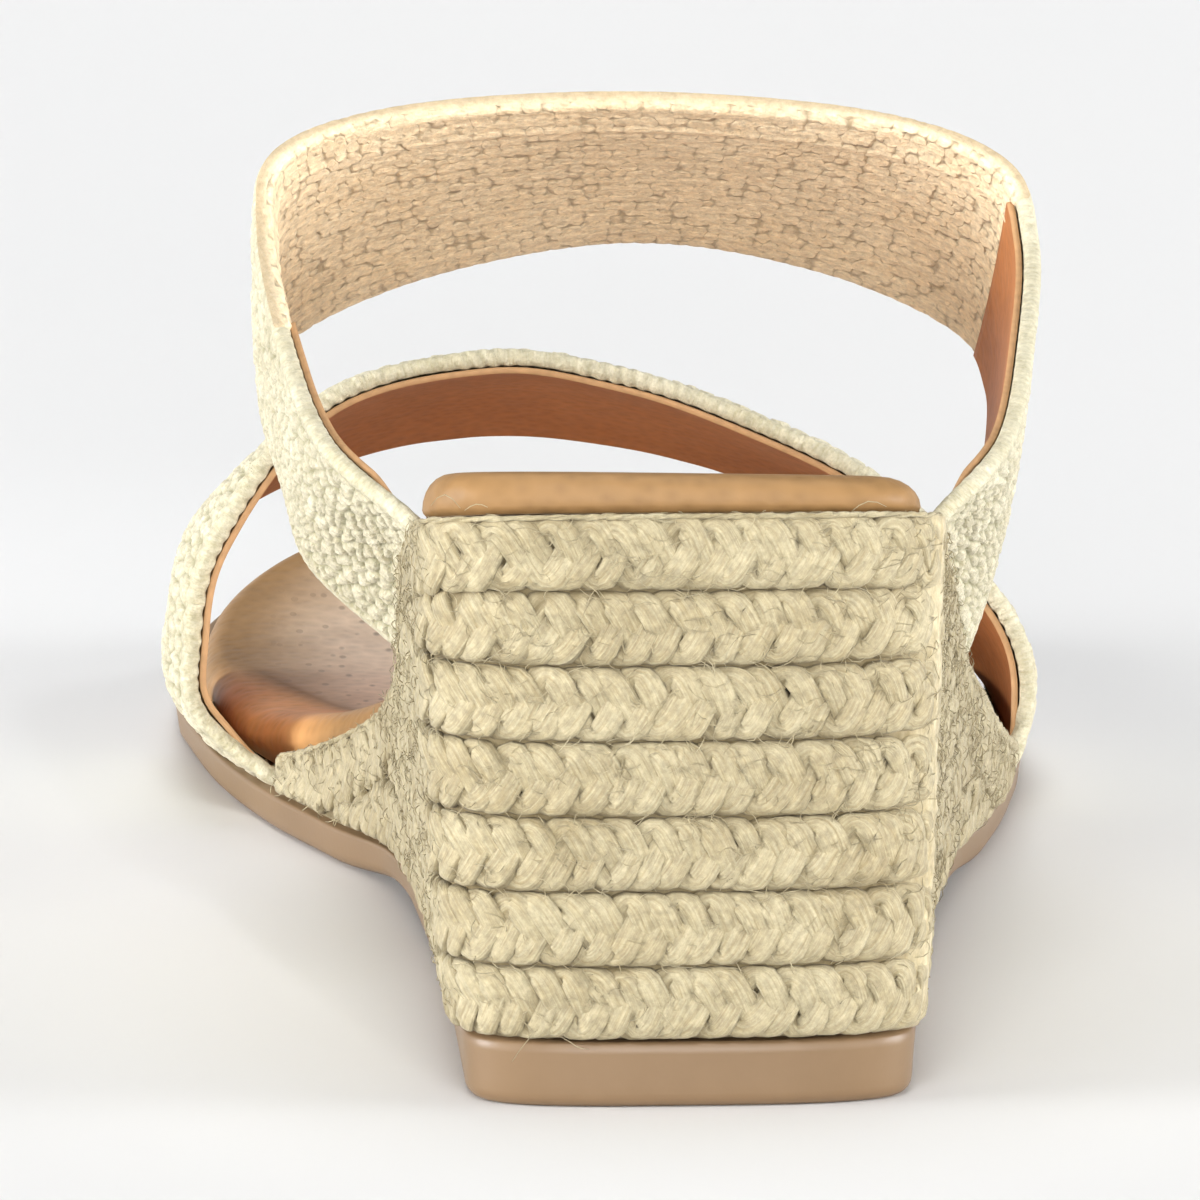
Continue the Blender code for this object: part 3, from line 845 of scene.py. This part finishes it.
def make_plait(wall, row, material, rng):
    """One row of plait. The top row follows the footbed, and the level rows dive under it."""
    u = np.arange(0.0, wall.length, STRAND_STEP)
    foot, top_row, top = wall.limits(u)
    if row == BRAID_ROWS - 1:
        base, height = top_row, top - top_row
        cover = top + 1.0
        weave_depth = PLAIT_WEAVE_DEPTH * TOP_ROW_DEPTH_SHARE
        shown = np.full(len(u), True)
    else:
        base, height = foot + row * wall.row_height, np.full(len(u), wall.row_height)
        cover = top_row
        weave_depth = PLAIT_WEAVE_DEPTH
        shown = top_row - base > 0.1 * wall.row_height
    u, base, height, cover = u[shown], base[shown], height[shown], cover[shown]
    patch = Patchwork()
    shift = rng.uniform(0, 2 * math.pi)
    around = np.linspace(0, 2 * math.pi * STRAND_HALF_WIDTH, STRAND_SIDES, endpoint=False)[None, :] / MM
    for strand in range(3):
        phase = shift + strand * 2 * math.pi / 3
        grid, run, depth = plait_strand(wall, u, base + height / 2, height, weave_depth, cover, phase, rng)
        along = run[:, None] / MM
        # Painted shade: darker where the strand lies deep, in the grooves between strands and between rows.
        tone = 0.15 + 0.85 * smoothstep(depth, *PLAIT_SHADE_DEPTHS)
        offset = 100.0 * (3 * row + strand)
        patch.add(grid, along + offset, around, tone, closed=True)
    ride(patch.make(f"jute_plait_{row + 1}", material), "jute", "jute_wedge")


def thin_tubes(paths, radius):
    """Three-sided tubes along paths, an array of tubes by points by three, thinner at both ends."""
    tangent = unit(np.gradient(paths, axis=1))
    side = unit(np.cross(tangent, np.array([0.31, 0.52, 0.8])))
    other = np.cross(tangent, side)
    taper = np.sin(np.linspace(0.12, 0.88, paths.shape[1]) * math.pi) ** 0.5
    turns = (np.array([0, 1, 2]) * 2 * math.pi / 3)[None, None, :, None]
    ring = side[:, :, None] * np.cos(turns) + other[:, :, None] * np.sin(turns)
    return paths[:, :, None] + ring * (radius * taper)[None, :, None, None]


def make_fuzz(wall, material, rng):
    """Loose fibres: short ones across the plaits, a fringe along the top edge, and single strays."""
    t = np.linspace(0, 1, 5)[None, :]

    def spread(count, low, high):
        return rng.uniform(low, high, count)[:, None]

    places = np.arange(2 * MM, wall.length - 2 * MM, 0.2 * MM)
    foot, _, top = wall.limits(places)
    u = rng.choice(places, FUZZ_COUNT, p=(top - foot) / (top - foot).sum())[:, None]
    foot, _, top = wall.limits(u)
    z = foot + (top - foot) * spread(FUZZ_COUNT, 0.01, 0.98) ** FUZZ_TO_TOP
    length = spread(FUZZ_COUNT, *FUZZ_LENGTHS)
    heading = spread(FUZZ_COUNT, -1.3, 1.3) + spread(FUZZ_COUNT, -1.5, 1.5) * (t - 0.5)
    along_u = u + length * (t - 0.5) * np.cos(heading)
    along_z = np.clip(z + length * (t - 0.5) * np.sin(heading), foot, top)
    lift = FUZZ_LIFT + spread(FUZZ_COUNT, 0.0, 0.9 * MM) ** 2 / MM * np.sin(t * math.pi)
    lying = wall.point(along_u, along_z, lift)

    u = spread(FRINGE_COUNT, 4 * MM, wall.length - 4 * MM)
    top = wall.limits(u)[2]
    length = spread(FRINGE_COUNT, *FRINGE_LENGTHS)
    heading = spread(FRINGE_COUNT, -0.5, 0.5) * math.pi + spread(FRINGE_COUNT, -1.2, 1.2) * t
    along_u = u + length * t * np.sin(heading)
    rise = length * t * (1 - 0.55 * t) * np.abs(np.cos(heading)) * 0.55 - 0.8 * MM
    lift = spread(FRINGE_COUNT, -0.2 * MM, 0.7 * MM) + spread(FRINGE_COUNT, -1.2 * MM, 0.5 * MM) * t
    base = wall.point(along_u, top + 0 * t, lift)
    base[..., 2] += rise

    start_x, start_z, end_x, end_z, bow = (column[:, None] * MM for column in np.array(STRAY_FIBRES).T)
    along_u = wall.run[len(wall.run) // 2] + start_x + (end_x - start_x) * t
    along_z = start_z + (end_z - start_z) * t + bow * np.sin(t * math.pi)
    stray = wall.point(along_u, along_z, STRAY_LIFT + 0 * t)

    patch = Patchwork()
    fibres = np.concatenate([lying, base, stray])
    for number, tube in enumerate(thin_tubes(fibres, FUZZ_RADIUS)):
        patch.add(tube, number + 4.0 * t.T, np.arange(3)[None, :] * 0.1, 1.0, closed=True)
    ride(patch.make("jute_fuzz", material, weld=False), "jute")


def make_edge_cord(wall, material, rng):
    """Thin two-ply cord that finishes the top edge of the wedge, and is thicker along the outer side."""
    u = np.arange(1 * MM, wall.length - 1 * MM, 0.4 * MM)
    top = wall.limits(u)[2]
    loose = smoothstep(u - wall.corners[1], *EDGE_CORD_LOOSENS)
    turns = np.linspace(0, 2 * math.pi, 8, endpoint=False)[None, :]
    patch = Patchwork()
    for ply in (0, 1):
        twist = 2 * math.pi * u / EDGE_CORD_PITCH + ply * math.pi + 0.5 * slow_noise(rng, u, 9 * MM)
        reach = 0.4 * EDGE_CORD_RADIUS * (1 + 0.3 * slow_noise(rng, u, 4 * MM))
        line = wall.point(u, top, 0.35 * MM + reach * np.cos(twist))
        line[:, 2] += reach * np.sin(twist) - 0.15 * MM + 0.12 * MM * slow_noise(rng, u, 12 * MM)
        out = wall.out(u)
        tangent = unit(np.gradient(line, axis=0))
        across = np.cross(out, tangent)
        uneven = np.stack([slow_noise(rng, u, 3 * MM) for _ in range(turns.size)], axis=1)
        radius = EDGE_CORD_RADIUS * (1 + 0.2 * uneven) + EDGE_CORD_LOOSE * loose[:, None]
        grid = line[:, None] + out[:, None] * (radius * np.cos(turns))[..., None]
        grid = grid + across[:, None] * (radius * np.sin(turns))[..., None]
        patch.add(grid, run_lengths(line)[:, None] / MM, turns * 0.4, 1.0, closed=True)
    ride(patch.make("jute_edge_cord", material), "jute", "jute_wedge")


def make_core(wall, material, rng):
    """Wall behind the plaits, which shows in their gaps and as felted fibre at the heel's corners."""
    u = np.linspace(0, wall.length, CORE_STEPS)
    foot, _, top = wall.limits(u)
    share = np.linspace(0, 1, CORE_LEVELS)[None, :]
    z = foot[:, None] + (top - foot)[:, None] * share
    felt = wall.corner(u)[:, None]
    uneven = np.stack([slow_noise(rng, u, 1.6 * MM) for _ in range(CORE_LEVELS)], axis=1)
    out = -CORE_INSET + felt * (CORE_INSET + CORNER_FELT + 0.1 * MM * uneven)
    grid = wall.point(np.repeat(u[:, None], CORE_LEVELS, axis=1), z, out)
    # Painted shade: dark where the wall shows in the plaits' gaps, and full tone on the felted corners.
    tone = CORE_SHADE_TONE + felt * (1 - CORE_SHADE_TONE + 0.04 * uneven)
    patch = Patchwork()
    shade = np.swapaxes(tone, 0, 1)[:, ::-1]
    fibre_lines = FELT_FINENESS * u[None, ::-1] / MM
    patch.add(np.swapaxes(grid, 0, 1)[:, ::-1], share.T * 60, fibre_lines, shade, closed=True)
    half = len(u) // 2
    for column, step in ((0, -1), (-1, 1)):
        edge = grid[:, column]
        cap = np.stack([edge[:half], edge[::-1][:half]], axis=1)
        patch.add_plain(cap[:, ::step], CORE_SHADE_TONE)
    ride(patch.make("jute_core", material), "jute", "jute_wedge")


# Woven straps


class Strap:
    """A strap's outer face as an even grid, with its distances along and across in millimetres."""

    def __init__(self, sections, seat, surface, bulge, tail):
        self.share = np.linspace(0, 1, STRAP_COLUMNS)
        self.tail = math.hypot(*tail)
        controls = self.controls(sections, seat, surface, bulge, tail)
        ends = np.concatenate([[2 * controls[0] - controls[1]], controls, [2 * controls[-1] - controls[-2]]])
        t = np.linspace(0, 1, STRAP_STEPS, endpoint=False)[:, None, None]
        lines = []
        for before, start, end, after in zip(ends, ends[1:], ends[2:], ends[3:]):
            bend = (2 * before - 5 * start + 4 * end - after) * t**2
            twist = (3 * start - before - 3 * end + after) * t**3
            lines.append(start + ((end - before) * t + bend + twist) / 2)
        dense = np.concatenate([*lines, controls[-1:]])
        run = run_lengths(dense[:, len(self.share) // 2]) / MM
        self.section_run = run[2 * STRAP_STEPS :: STRAP_STEPS][: len(sections)]
        self.run = np.linspace(0, run[-1], round(run[-1] / WEAVE_STEP) + 1)
        at = np.interp(self.run, run, np.arange(len(run)))
        low = np.minimum(at.astype(int), len(run) - 2)
        part = (at - low)[:, None, None]
        self.grid = dense[low] * (1 - part) + dense[low + 1] * part
        along, across = np.gradient(self.grid, axis=0), np.gradient(self.grid, axis=1)
        self.normal = unit(np.cross(along, across))
        self.across = unit(across)
        widths = np.linalg.norm(np.diff(self.grid, axis=1), axis=-1) / MM
        reach = np.concatenate([np.zeros((len(widths), 1)), np.cumsum(widths, axis=1)], axis=1)
        self.half = reach[:, -1] / 2
        self.reach = reach - self.half[:, None]

    def controls(self, sections, seat, surface, bulge, tail):
        """Control points along the strap, for each share of the way from its rear to its front edge."""
        tuck, drop = tail
        table = np.array(sections) * MM
        rear, front = table[:, None, :3], table[:, None, 3:]
        share = self.share[None, :, None]
        flat = rear * (1 - share) + front * share
        crown_x, crown_z = table[:, 0].mean(), table[:, 2].mean() * 0.5
        away = unit((flat - [crown_x, 0, crown_z]) * [1, 0, 1])
        flat = flat + away * bulge * 4 * share * (1 - share)
        middle = place(flat[..., 0], flat[..., 1], flat[..., 2])
        ends = []
        for side in (INNER, OUTER):
            rear_seat, front_seat = seat[side]
            station = rear_seat + (front_seat - rear_seat) * self.share
            x = side * (EDGE_CURVES[side, TOP_LEVEL](station) - strap_inset(station))
            z = surface(station) + SEAT_GAP
            foot = place(x, station, z)
            tucked = place(x - side * tuck * MM, station, z - drop * MM)
            ends.append([foot, tucked])
        inner, outer = ends
        return np.concatenate([inner[::-1], middle, outer])

    def at(self, field, q):
        """Values of a field of the grid at distances across, with a row of distances for each of its rows."""
        found = np.empty((*q.shape, 3))
        index = np.arange(len(self.share))
        for i in range(len(q)):
            place_in_row = np.interp(q[i], self.reach[i], index)
            low = np.minimum(place_in_row.astype(int), len(index) - 2)
            part = (place_in_row - low)[:, None]
            found[i] = field[i, low] * (1 - part) + field[i, low + 1] * part
        return found

    def folded(self, q, lift):
        """Points of the fabric at distances across, which turn round the strap's edges past their ends."""
        flat_end = (self.half - FABRIC_FOLD)[:, None]
        on_face = np.clip(q, -flat_end, flat_end)
        turn = (np.abs(q) - np.abs(on_face)) / FABRIC_FOLD
        side = np.sign(q)
        base, normal, across = (self.at(field, on_face) for field in (self.grid, self.normal, self.across))
        out = normal * np.cos(turn)[..., None] + across * (side * np.sin(turn))[..., None]
        radius = FABRIC_FOLD * MM
        folded = (turn > 0)[..., None]
        centre = base - normal * radius * folded
        return centre + out * radius * folded + out * (lift * MM)[..., None]


def cell_distances(p, q, pitch, jitter):
    """Distances to the nearest two centres of an uneven brick pattern, and a tone for the nearest cell."""
    u, v = np.broadcast_arrays(p / pitch[0], q / pitch[1])
    nearest, second = np.full(u.shape, 9.0), np.full(u.shape, 9.0)
    tone = np.zeros(u.shape)
    for row_step in (-1, 0, 1):
        row = np.floor(v) + row_step
        shift = 0.5 * np.mod(row, 2)
        for step in (-1, 0, 1):
            cell = np.floor(u - shift) + step
            x = cell + 0.5 + shift + jitter * (scatter(row, cell) - 0.5)
            y = row + 0.5 + jitter * (scatter(cell, row + 0.37) - 0.5)
            distance = np.hypot(u - x, v - y)
            second = np.minimum(second, np.maximum(nearest, distance))
            tone = np.where(distance < nearest, scatter(cell + 0.71, row), tone)
            nearest = np.minimum(nearest, distance)
    return nearest, second, tone


def lumps(p, q):
    """Relief of the outer fabric: uneven ribs across the strap, about 1 high, and a tone for each."""
    p = p + 0.35 * np.sin(q / 1.9 + p / 6.3) + 0.2 * np.sin(q / 0.8 - p / 3.7)
    nearest, second, tone = cell_distances(p, q, LUMP_PITCH, 0.8)
    crevice = 1 - smoothstep(second - nearest, 0.02, 0.34)
    return (1 - 0.4 * nearest**2) * (0.85 + 0.25 * tone) - 0.75 * crevice, tone


def stitches_at(p, q, row_pitch, sway):
    """Row and number of the stitch at each place, and the place across and along it, from -0.5 to 0.5."""
    row = np.floor(q / row_pitch)
    odd = np.mod(row, 2)
    across = q / row_pitch - row - 0.5
    lean = np.where(odd == 0, STITCH_LEAN, -STITCH_LEAN)
    wander = sway * np.sin(p / 17 + row * 2.3) + scatter(row, 3.0) * 0.3
    stitch = p / STITCH_PITCH + 0.5 * odd + lean * across + wander
    cell = np.floor(stitch)
    return row, cell, across, stitch - cell - 0.5


def weave(p, q):
    """Relief of a weave, from 0 in its pits to about 1 on its stitches."""
    q = q + 0.2 * np.sin(p / 7.3 + q / 11) + 0.15 * np.sin(p / 2.9 - q / 5)
    row, cell, across, along = stitches_at(p, q, ROW_PITCH, 0.25)
    hump = (1 - np.abs(2 * across) ** 2.2) * (1 - np.abs(2 * along) ** 2.6)
    return np.sqrt(np.maximum(hump, 0)) * (0.7 + 0.5 * scatter(row, cell))


def fabric_relief(strap, p, q, fold_relief):
    """Lift of the woven fabric: stitches on its face, and a smoother twisted edge where it is folded."""
    height, tone = lumps(p, q)
    height = height + FINE_SHARE * (weave(p, q) - 0.6)
    to_edge = strap.half[:, None] - np.abs(q)
    edge = 1 - smoothstep(to_edge, FOLD_BAND - 0.35, FOLD_BAND + 0.15)
    groove = np.exp(-(((to_edge - FOLD_BAND) / 0.28) ** 2))
    swell = 0.6 + 0.4 * np.sin(p / 4.7 + np.sin(p / 11.0) * 3)
    rope = swell * np.cos(math.pi * (p / FOLD_ROPE_PITCH + 0.3 * to_edge + 0.3 * np.sin(p / 2.7))) ** 2
    lift = (1 - edge) * WEAVE_RELIEF * (height - 0.55) + edge * (fold_relief * (rope - 0.4) + 0.2)
    lift = lift - 0.3 * groove
    # Painted shade that follows the relief: darker in the crevices, in the groove by the fold and between the
    # rope's twists; each lump's tone also differs at random.
    shade = (1 - edge) * np.clip(height + 0.08, 0, 1) + edge * (0.72 + 0.18 * rope)
    return lift, shade * (1 - 0.6 * groove) * (0.85 + 0.15 * tone)


def make_fabric(strap, name, material, node, fold_relief):
    """Outer fabric of a strap, folded round both of its edges."""
    turned = FABRIC_FOLD * FOLD_TURN
    most = strap.half.max() - FABRIC_FOLD + turned
    q = np.arange(-most, most + WEAVE_STEP, WEAVE_STEP)[None, :]
    end = (strap.half - FABRIC_FOLD + turned)[:, None]
    q = np.clip(q, -end, end)
    p = strap.run[:, None]
    lift, tone = fabric_relief(strap, p, q, fold_relief)
    patch = Patchwork()
    patch.add(strap.folded(q, lift)[:, ::-1], p, q[:, ::-1], tone[:, ::-1])
    ride(patch.make(name, material, sheet=True), "woven_fibre", node)


def make_lining(strap, name, material, edge_inset, start, end):
    """Leather lining, a thin slab along part of a strap's inside with its cut edges showing."""
    rows = np.flatnonzero((strap.run >= start) & (strap.run <= end))[::3]
    p = strap.run[:, None]
    wave = LINING_WAVE * np.sin(p / 2.3 + np.sin(p / 5.1) * 2)
    reach = strap.half[:, None] - edge_inset + wave
    ease = smoothstep(np.minimum(p, strap.run[-1] - p), strap.tail, strap.tail + 8.0)
    inner_depth = LINING_SEAT_DEPTH + (STRAP_THICKNESS / MM + LINING_PROUD - LINING_SEAT_DEPTH) * ease
    outer_depth = inner_depth - LINING_THICKNESS
    across = np.linspace(-1, 1, LINING_COLUMNS)[None, :]
    face = np.hstack([-reach, across * (reach - LINING_CUT_BAND), reach])
    q = np.hstack([face, face[:, ::-1]])
    depth = np.hstack([inner_depth] * face.shape[1] + [outer_depth] * face.shape[1])
    tone = np.zeros(q.shape[1])
    tone[1 : LINING_COLUMNS + 1] = 1.0
    base, normal = strap.at(strap.grid, q), strap.at(strap.normal, q)
    grid = base - normal * (depth * MM)[..., None]
    patch = Patchwork()
    patch.add(grid[rows][:, ::-1], p[rows], q[rows][:, ::-1], tone[None, ::-1], closed=True)
    ride(patch.make(name, material, weld=False), "leather")


def flat_weave(p, q):
    """Relief of a tight flat weave, about 1 on its stitches with holes between them, and a tone for each."""
    q = q + 0.15 * np.sin(p / 6.1 + q / 9)
    row, cell, across, along = stitches_at(p, q, CROWN_ROW_PITCH, 0.0)
    tone = scatter(row, cell)
    body = 1 - 0.3 * np.abs(2 * across) ** 3 - 0.25 * np.abs(2 * along) ** 3
    gap_along = (0.5 - np.abs(along)) * STITCH_PITCH
    gap_across = (0.5 - np.abs(across)) * CROWN_ROW_PITCH
    hole = np.exp(-(gap_along**2 + gap_across**2) / CROWN_HOLE**2)
    hole = hole * (0.5 + 0.5 * scatter(cell, row + np.sign(across)))
    return body * (0.85 + 0.25 * tone) - 0.9 * hole, tone


def make_crown_weave(strap, material):
    """Woven inside of the instep strap's crown, which turns over its edges to meet the outer fabric.

    It gives the distances along the strap at which the weave starts and ends.
    """
    start, end = np.interp(CROWN_SECTIONS, np.arange(len(strap.section_run)), strap.section_run)
    rows = (strap.run >= start - CROWN_SKEW) & (strap.run <= end + CROWN_SKEW)
    flat_end = (strap.half - FABRIC_FOLD)[:, None]
    limit = flat_end + CROWN_EDGE_TURN * CROWN_EDGE_ROUND
    most = limit.max()
    q = np.clip(np.arange(-most, most + WEAVE_STEP, WEAVE_STEP)[None, :], -limit, limit)
    on_face = np.clip(q, -flat_end, flat_end)
    turn = (q - on_face) / CROWN_EDGE_ROUND
    p = strap.run[:, None]
    height, tone = flat_weave(p + 0.7, q + 0.5)
    from_rear, from_front = q + limit, limit - q
    skew = CROWN_SKEW * from_rear / (2 * limit)
    hem = 1 - smoothstep(np.minimum(from_rear, from_front), *CROWN_HEM)
    ridge = np.exp(-(((from_rear - CROWN_RIDGE_AT) / CROWN_RIDGE_WIDTH) ** 2))
    to_end = smoothstep(np.minimum(p - start + skew, end + skew - p), 0.0, 0.6)
    inward = smoothstep(flat_end - np.abs(q), 0.0, 4.0)
    rise = CROWN_WEAVE_RISE * inward * to_end - (1 - to_end) * 2 * CROWN_WEAVE_RISE
    reach = CROWN_EDGE_ROUND + rise + CROWN_RELIEF * (1 - 0.5 * hem) * (height - 1)
    reach = reach + CROWN_RIDGE_HEIGHT * ridge
    # Painted shade and highlight: lighter on the stitches and the ridge, darker in the low places.
    shade = np.clip(0.8 + 0.2 * height + 0.1 * ridge - 0.06 * tone, 0.8, 1.0)
    # Painted shade: the rear hem, lit from above, is darkened towards this tone.
    shade = shade + (CROWN_HEM_PAINTED_SHADE - shade) * (1 - smoothstep(from_rear, *CROWN_HEM))
    base, normal, across = (strap.at(field, on_face) for field in (strap.grid, strap.normal, strap.across))
    centre = base - normal * FABRIC_FOLD * MM
    inside = across * np.sin(turn)[..., None] - normal * np.cos(turn)[..., None]
    grid = centre + inside * (reach * MM)[..., None]
    patch = Patchwork()
    patch.add(grid[rows], p[rows], q[rows], shade[rows])
    ride(patch.make("crown_weave", material, sheet=True), "woven_fibre")
    return start, end


# Stage


FLOOR_HALF_SIZE = 12.0


def make_floor(material):
    mesh = bpy.data.meshes.new("floor")
    bm = bmesh.new()
    bmesh.ops.create_grid(bm, x_segments=8, y_segments=8, size=FLOOR_HALF_SIZE)
    bm.to_mesh(mesh)
    bm.free()
    mesh.materials.append(material)
    floor = bpy.data.objects.new("floor", mesh)
    bpy.context.scene.collection.objects.link(floor)


# The walls of light round the stage are brightest at the floor, and the ceiling is dark
HORIZON_BAND = 0.5
HORIZON_LIGHT = 1.25
ZENITH_LIGHT = 0.06

# Broad lights. Azimuth 0 is behind the camera, and 90 is the outer side
SUNS = [
    # name, azimuth, elevation, strength, angle
    ("overhead_softbox", 180, 78, 0.9, 40),
    ("key_softbox", -5, 48, 1.3, 20),
    ("camera_fill", 0, 3, 2.2, 24),
    ("left_fill", -40, 4, 0.6, 24),
    ("right_fill", 40, 4, 0.6, 24),
    ("left_softbox", -82, 6, 4.7, 30),
    ("right_softbox", 82, 6, 3.8, 30),
]

# Spot light for the footbed: where it points, as x, station and height, and from where
SNOOT_TARGET = (-38 * MM, 177 * MM, 9 * MM)
SNOOT_AZIMUTH, SNOOT_ELEVATION = 10, 32
SNOOT_DISTANCE = 1.5
SNOOT_CONE = math.radians(2.2)
SNOOT_SIZE = 0.08
SNOOT_POWER = 190.0


def hang_lamp(light, azimuth, elevation):
    """Lamp that shines from a direction, and that direction."""
    lamp = bpy.data.objects.new(light.name, light)
    a, e = math.radians(azimuth), math.radians(elevation)
    towards = Vector((math.sin(a) * math.cos(e), -math.cos(a) * math.cos(e), math.sin(e)))
    lamp.rotation_mode = "QUATERNION"
    lamp.rotation_quaternion = towards.to_track_quat("Z", "Y")
    bpy.context.scene.collection.objects.link(lamp)
    return lamp, towards


def make_sun(name, azimuth, elevation, strength, angle):
    """Broad soft light."""
    light = bpy.data.lights.new(name, "SUN")
    light.energy = strength
    light.angle = math.radians(angle)
    hang_lamp(light, azimuth, elevation)


def make_snoot():
    """Narrow spot light aimed at the footbed under the toe strap's inner side."""
    light = bpy.data.lights.new("footbed_snoot", "SPOT")
    light.energy = SNOOT_POWER
    light.spot_size = SNOOT_CONE
    light.spot_blend = 1.0
    light.shadow_soft_size = SNOOT_SIZE
    lamp, towards = hang_lamp(light, SNOOT_AZIMUTH, SNOOT_ELEVATION)
    lamp.location = Vector(place(*SNOOT_TARGET)) + towards * SNOOT_DISTANCE


def make_light():
    scene = bpy.context.scene
    world = bpy.data.worlds.new("studio")
    world.use_nodes = True
    tree = world.node_tree
    background = tree.nodes["Background"]
    background.inputs["Color"].default_value = (1.0, 1.0, 1.0, 1.0)
    direction = tree.nodes.new("ShaderNodeTexCoord")
    axes = tree.nodes.new("ShaderNodeSeparateXYZ")
    fade = tree.nodes.new("ShaderNodeMapRange")
    fade.interpolation_type = "SMOOTHSTEP"
    for socket, value in zip(fade.inputs[1:5], (0.0, HORIZON_BAND, HORIZON_LIGHT, ZENITH_LIGHT)):
        socket.default_value = value
    tree.links.new(direction.outputs["Generated"], axes.inputs[0])
    tree.links.new(axes.outputs["Z"], fade.inputs["Value"])
    tree.links.new(fade.outputs["Result"], background.inputs["Strength"])
    scene.world = world
    for sun in SUNS:
        make_sun(*sun)
    make_snoot()
    scene.view_settings.view_transform = "Standard"


# Camera, fitted to the photo: the back of the heel meets the floor at a pixel of its frame
PHOTO_SIDE = 1200
HEEL_PIXEL = (674, 1117)
CAMERA_YAW = math.radians(2.68)
CAMERA_PITCH = math.radians(11.0)
CAMERA_DISTANCE = 2.255
PIXELS_PER_METRE = 9830
SENSOR_WIDTH = 36.0


def make_camera():
    """Long lens behind the heel, a little above it."""
    focal = PIXELS_PER_METRE * CAMERA_DISTANCE
    yaw, pitch = CAMERA_YAW, CAMERA_PITCH
    right = Vector((math.cos(yaw), -math.sin(yaw), 0))
    forward = Vector((math.sin(yaw) * math.cos(pitch), math.cos(yaw) * math.cos(pitch), -math.sin(pitch)))
    up = right.cross(forward)
    heel = Vector((0, -LENGTH / 2, 0))
    across = (HEEL_PIXEL[0] - PHOTO_SIDE / 2) / focal * CAMERA_DISTANCE
    down = (HEEL_PIXEL[1] - PHOTO_SIDE / 2) / focal * CAMERA_DISTANCE
    data = bpy.data.cameras.new("camera")
    data.sensor_width = SENSOR_WIDTH
    data.lens = SENSOR_WIDTH * focal / PHOTO_SIDE
    data.clip_end = 50.0
    camera = bpy.data.objects.new("camera", data)
    turn = Matrix((right, up, -forward)).transposed().to_4x4()
    eye = heel - right * across + up * down - forward * CAMERA_DISTANCE
    camera.matrix_world = Matrix.Translation(eye) @ turn
    bpy.context.scene.collection.objects.link(camera)
    bpy.context.scene.camera = camera


def build():
    # Painted shade colour for the pits of the jute
    jute_pit_shade = (0.14, 0.1, 0.037)
    jute = fibre_material(
        "jute_fibre", (0.3, 0.237, 0.122), (0.47, 0.408, 0.26), jute_pit_shade,
        streak_scale=(0.22, 3.2), bump_distance=0.17 * MM, fuzz_distance=0.12 * MM,
    )
    felt = fibre_material(
        "jute_felt", (0.38, 0.3, 0.155), (0.6, 0.52, 0.335), jute_pit_shade,
        streak_scale=(0.22, 3.2), bump_distance=0.17 * MM, fuzz_distance=0.12 * MM,
    )
    straw = fibre_material(
        "straw_fibre", (0.57, 0.5, 0.325), (0.77, 0.715, 0.545), (0.25, 0.23, 0.11),
        streak_scale=(2.4, 0.7), bump_distance=0.3 * MM, fuzz_distance=0.28 * MM,
    )
    # Inside of the crown: the same straw as outside, in shade, with painted bounce light from the brown
    # leather in its warmer, lighter tan.
    crown = fibre_material(
        "crown_fibre_painted_bounce", (0.86, 0.66, 0.4), (0.94, 0.79, 0.54), (0.3, 0.22, 0.12),
        streak_scale=(0.6, 2.2), bump_distance=0.2 * MM, fuzz_distance=0.28 * MM, stitches=(0.68, 0.58),
    )
    # Footbed: its flat colours are greyed as a painted sheen, and its fourth colour is the orange of painted
    # light in the shade under the toe strap.
    footbed = leather_material(
        "tan_leather", (0.62, 0.465, 0.335), (0.84, 0.67, 0.52), (0.3, 0.171, 0.07), (0.74, 0.385, 0.15),
        grain=620.0, roughness=(0.4, 0.54), bump_distance=0.12 * MM, pore_tone=0.55,
    )
    lining = leather_material(
        "brown_lining", (0.41, 0.15, 0.047), (0.5, 0.192, 0.063), (0.5, 0.29, 0.14), (0.5, 0.29, 0.14),
        grain=900.0, roughness=(0.5, 0.68), bump_distance=0.05 * MM, pore_tone=0.97,
    )
    make_outsole(rubber_material())
    make_footbed(footbed)
    wall = Wall()
    rng = np.random.default_rng(RANDOM_SEED)
    make_core(wall, felt, rng)
    for row in range(BRAID_ROWS):
        make_plait(wall, row, jute, rng)
    make_edge_cord(wall, jute, rng)
    make_fuzz(wall, jute, rng)
    instep = Strap(INSTEP_SECTIONS, INSTEP_SEAT, wedge_top, INSTEP_BULGE, INSTEP_TAIL)
    make_fabric(instep, "instep_fabric", straw, "instep_strap", INSTEP_FOLD_RELIEF)
    crown_start, crown_end = make_crown_weave(instep, crown)
    first, last = instep.tail, instep.run[-1] - instep.tail
    inner_end, outer_start = crown_start + LINING_OVERLAP[INNER], crown_end - LINING_OVERLAP[OUTER]
    make_lining(instep, "instep_lining_inner", lining, INSTEP_LINING_INSET, first, inner_end)
    make_lining(instep, "instep_lining_outer", lining, INSTEP_LINING_INSET, outer_start, last)
    toe = Strap(TOE_SECTIONS, TOE_SEAT, outsole_top, TOE_BULGE, TOE_TAIL)
    make_fabric(toe, "toe_fabric", straw, "toe_strap", TOE_FOLD_RELIEF)
    make_lining(toe, "toe_lining", lining, TOE_LINING_INSET, toe.tail, toe.run[-1] - toe.tail)
    make_floor(floor_material())
    make_light()
    make_camera()


build()
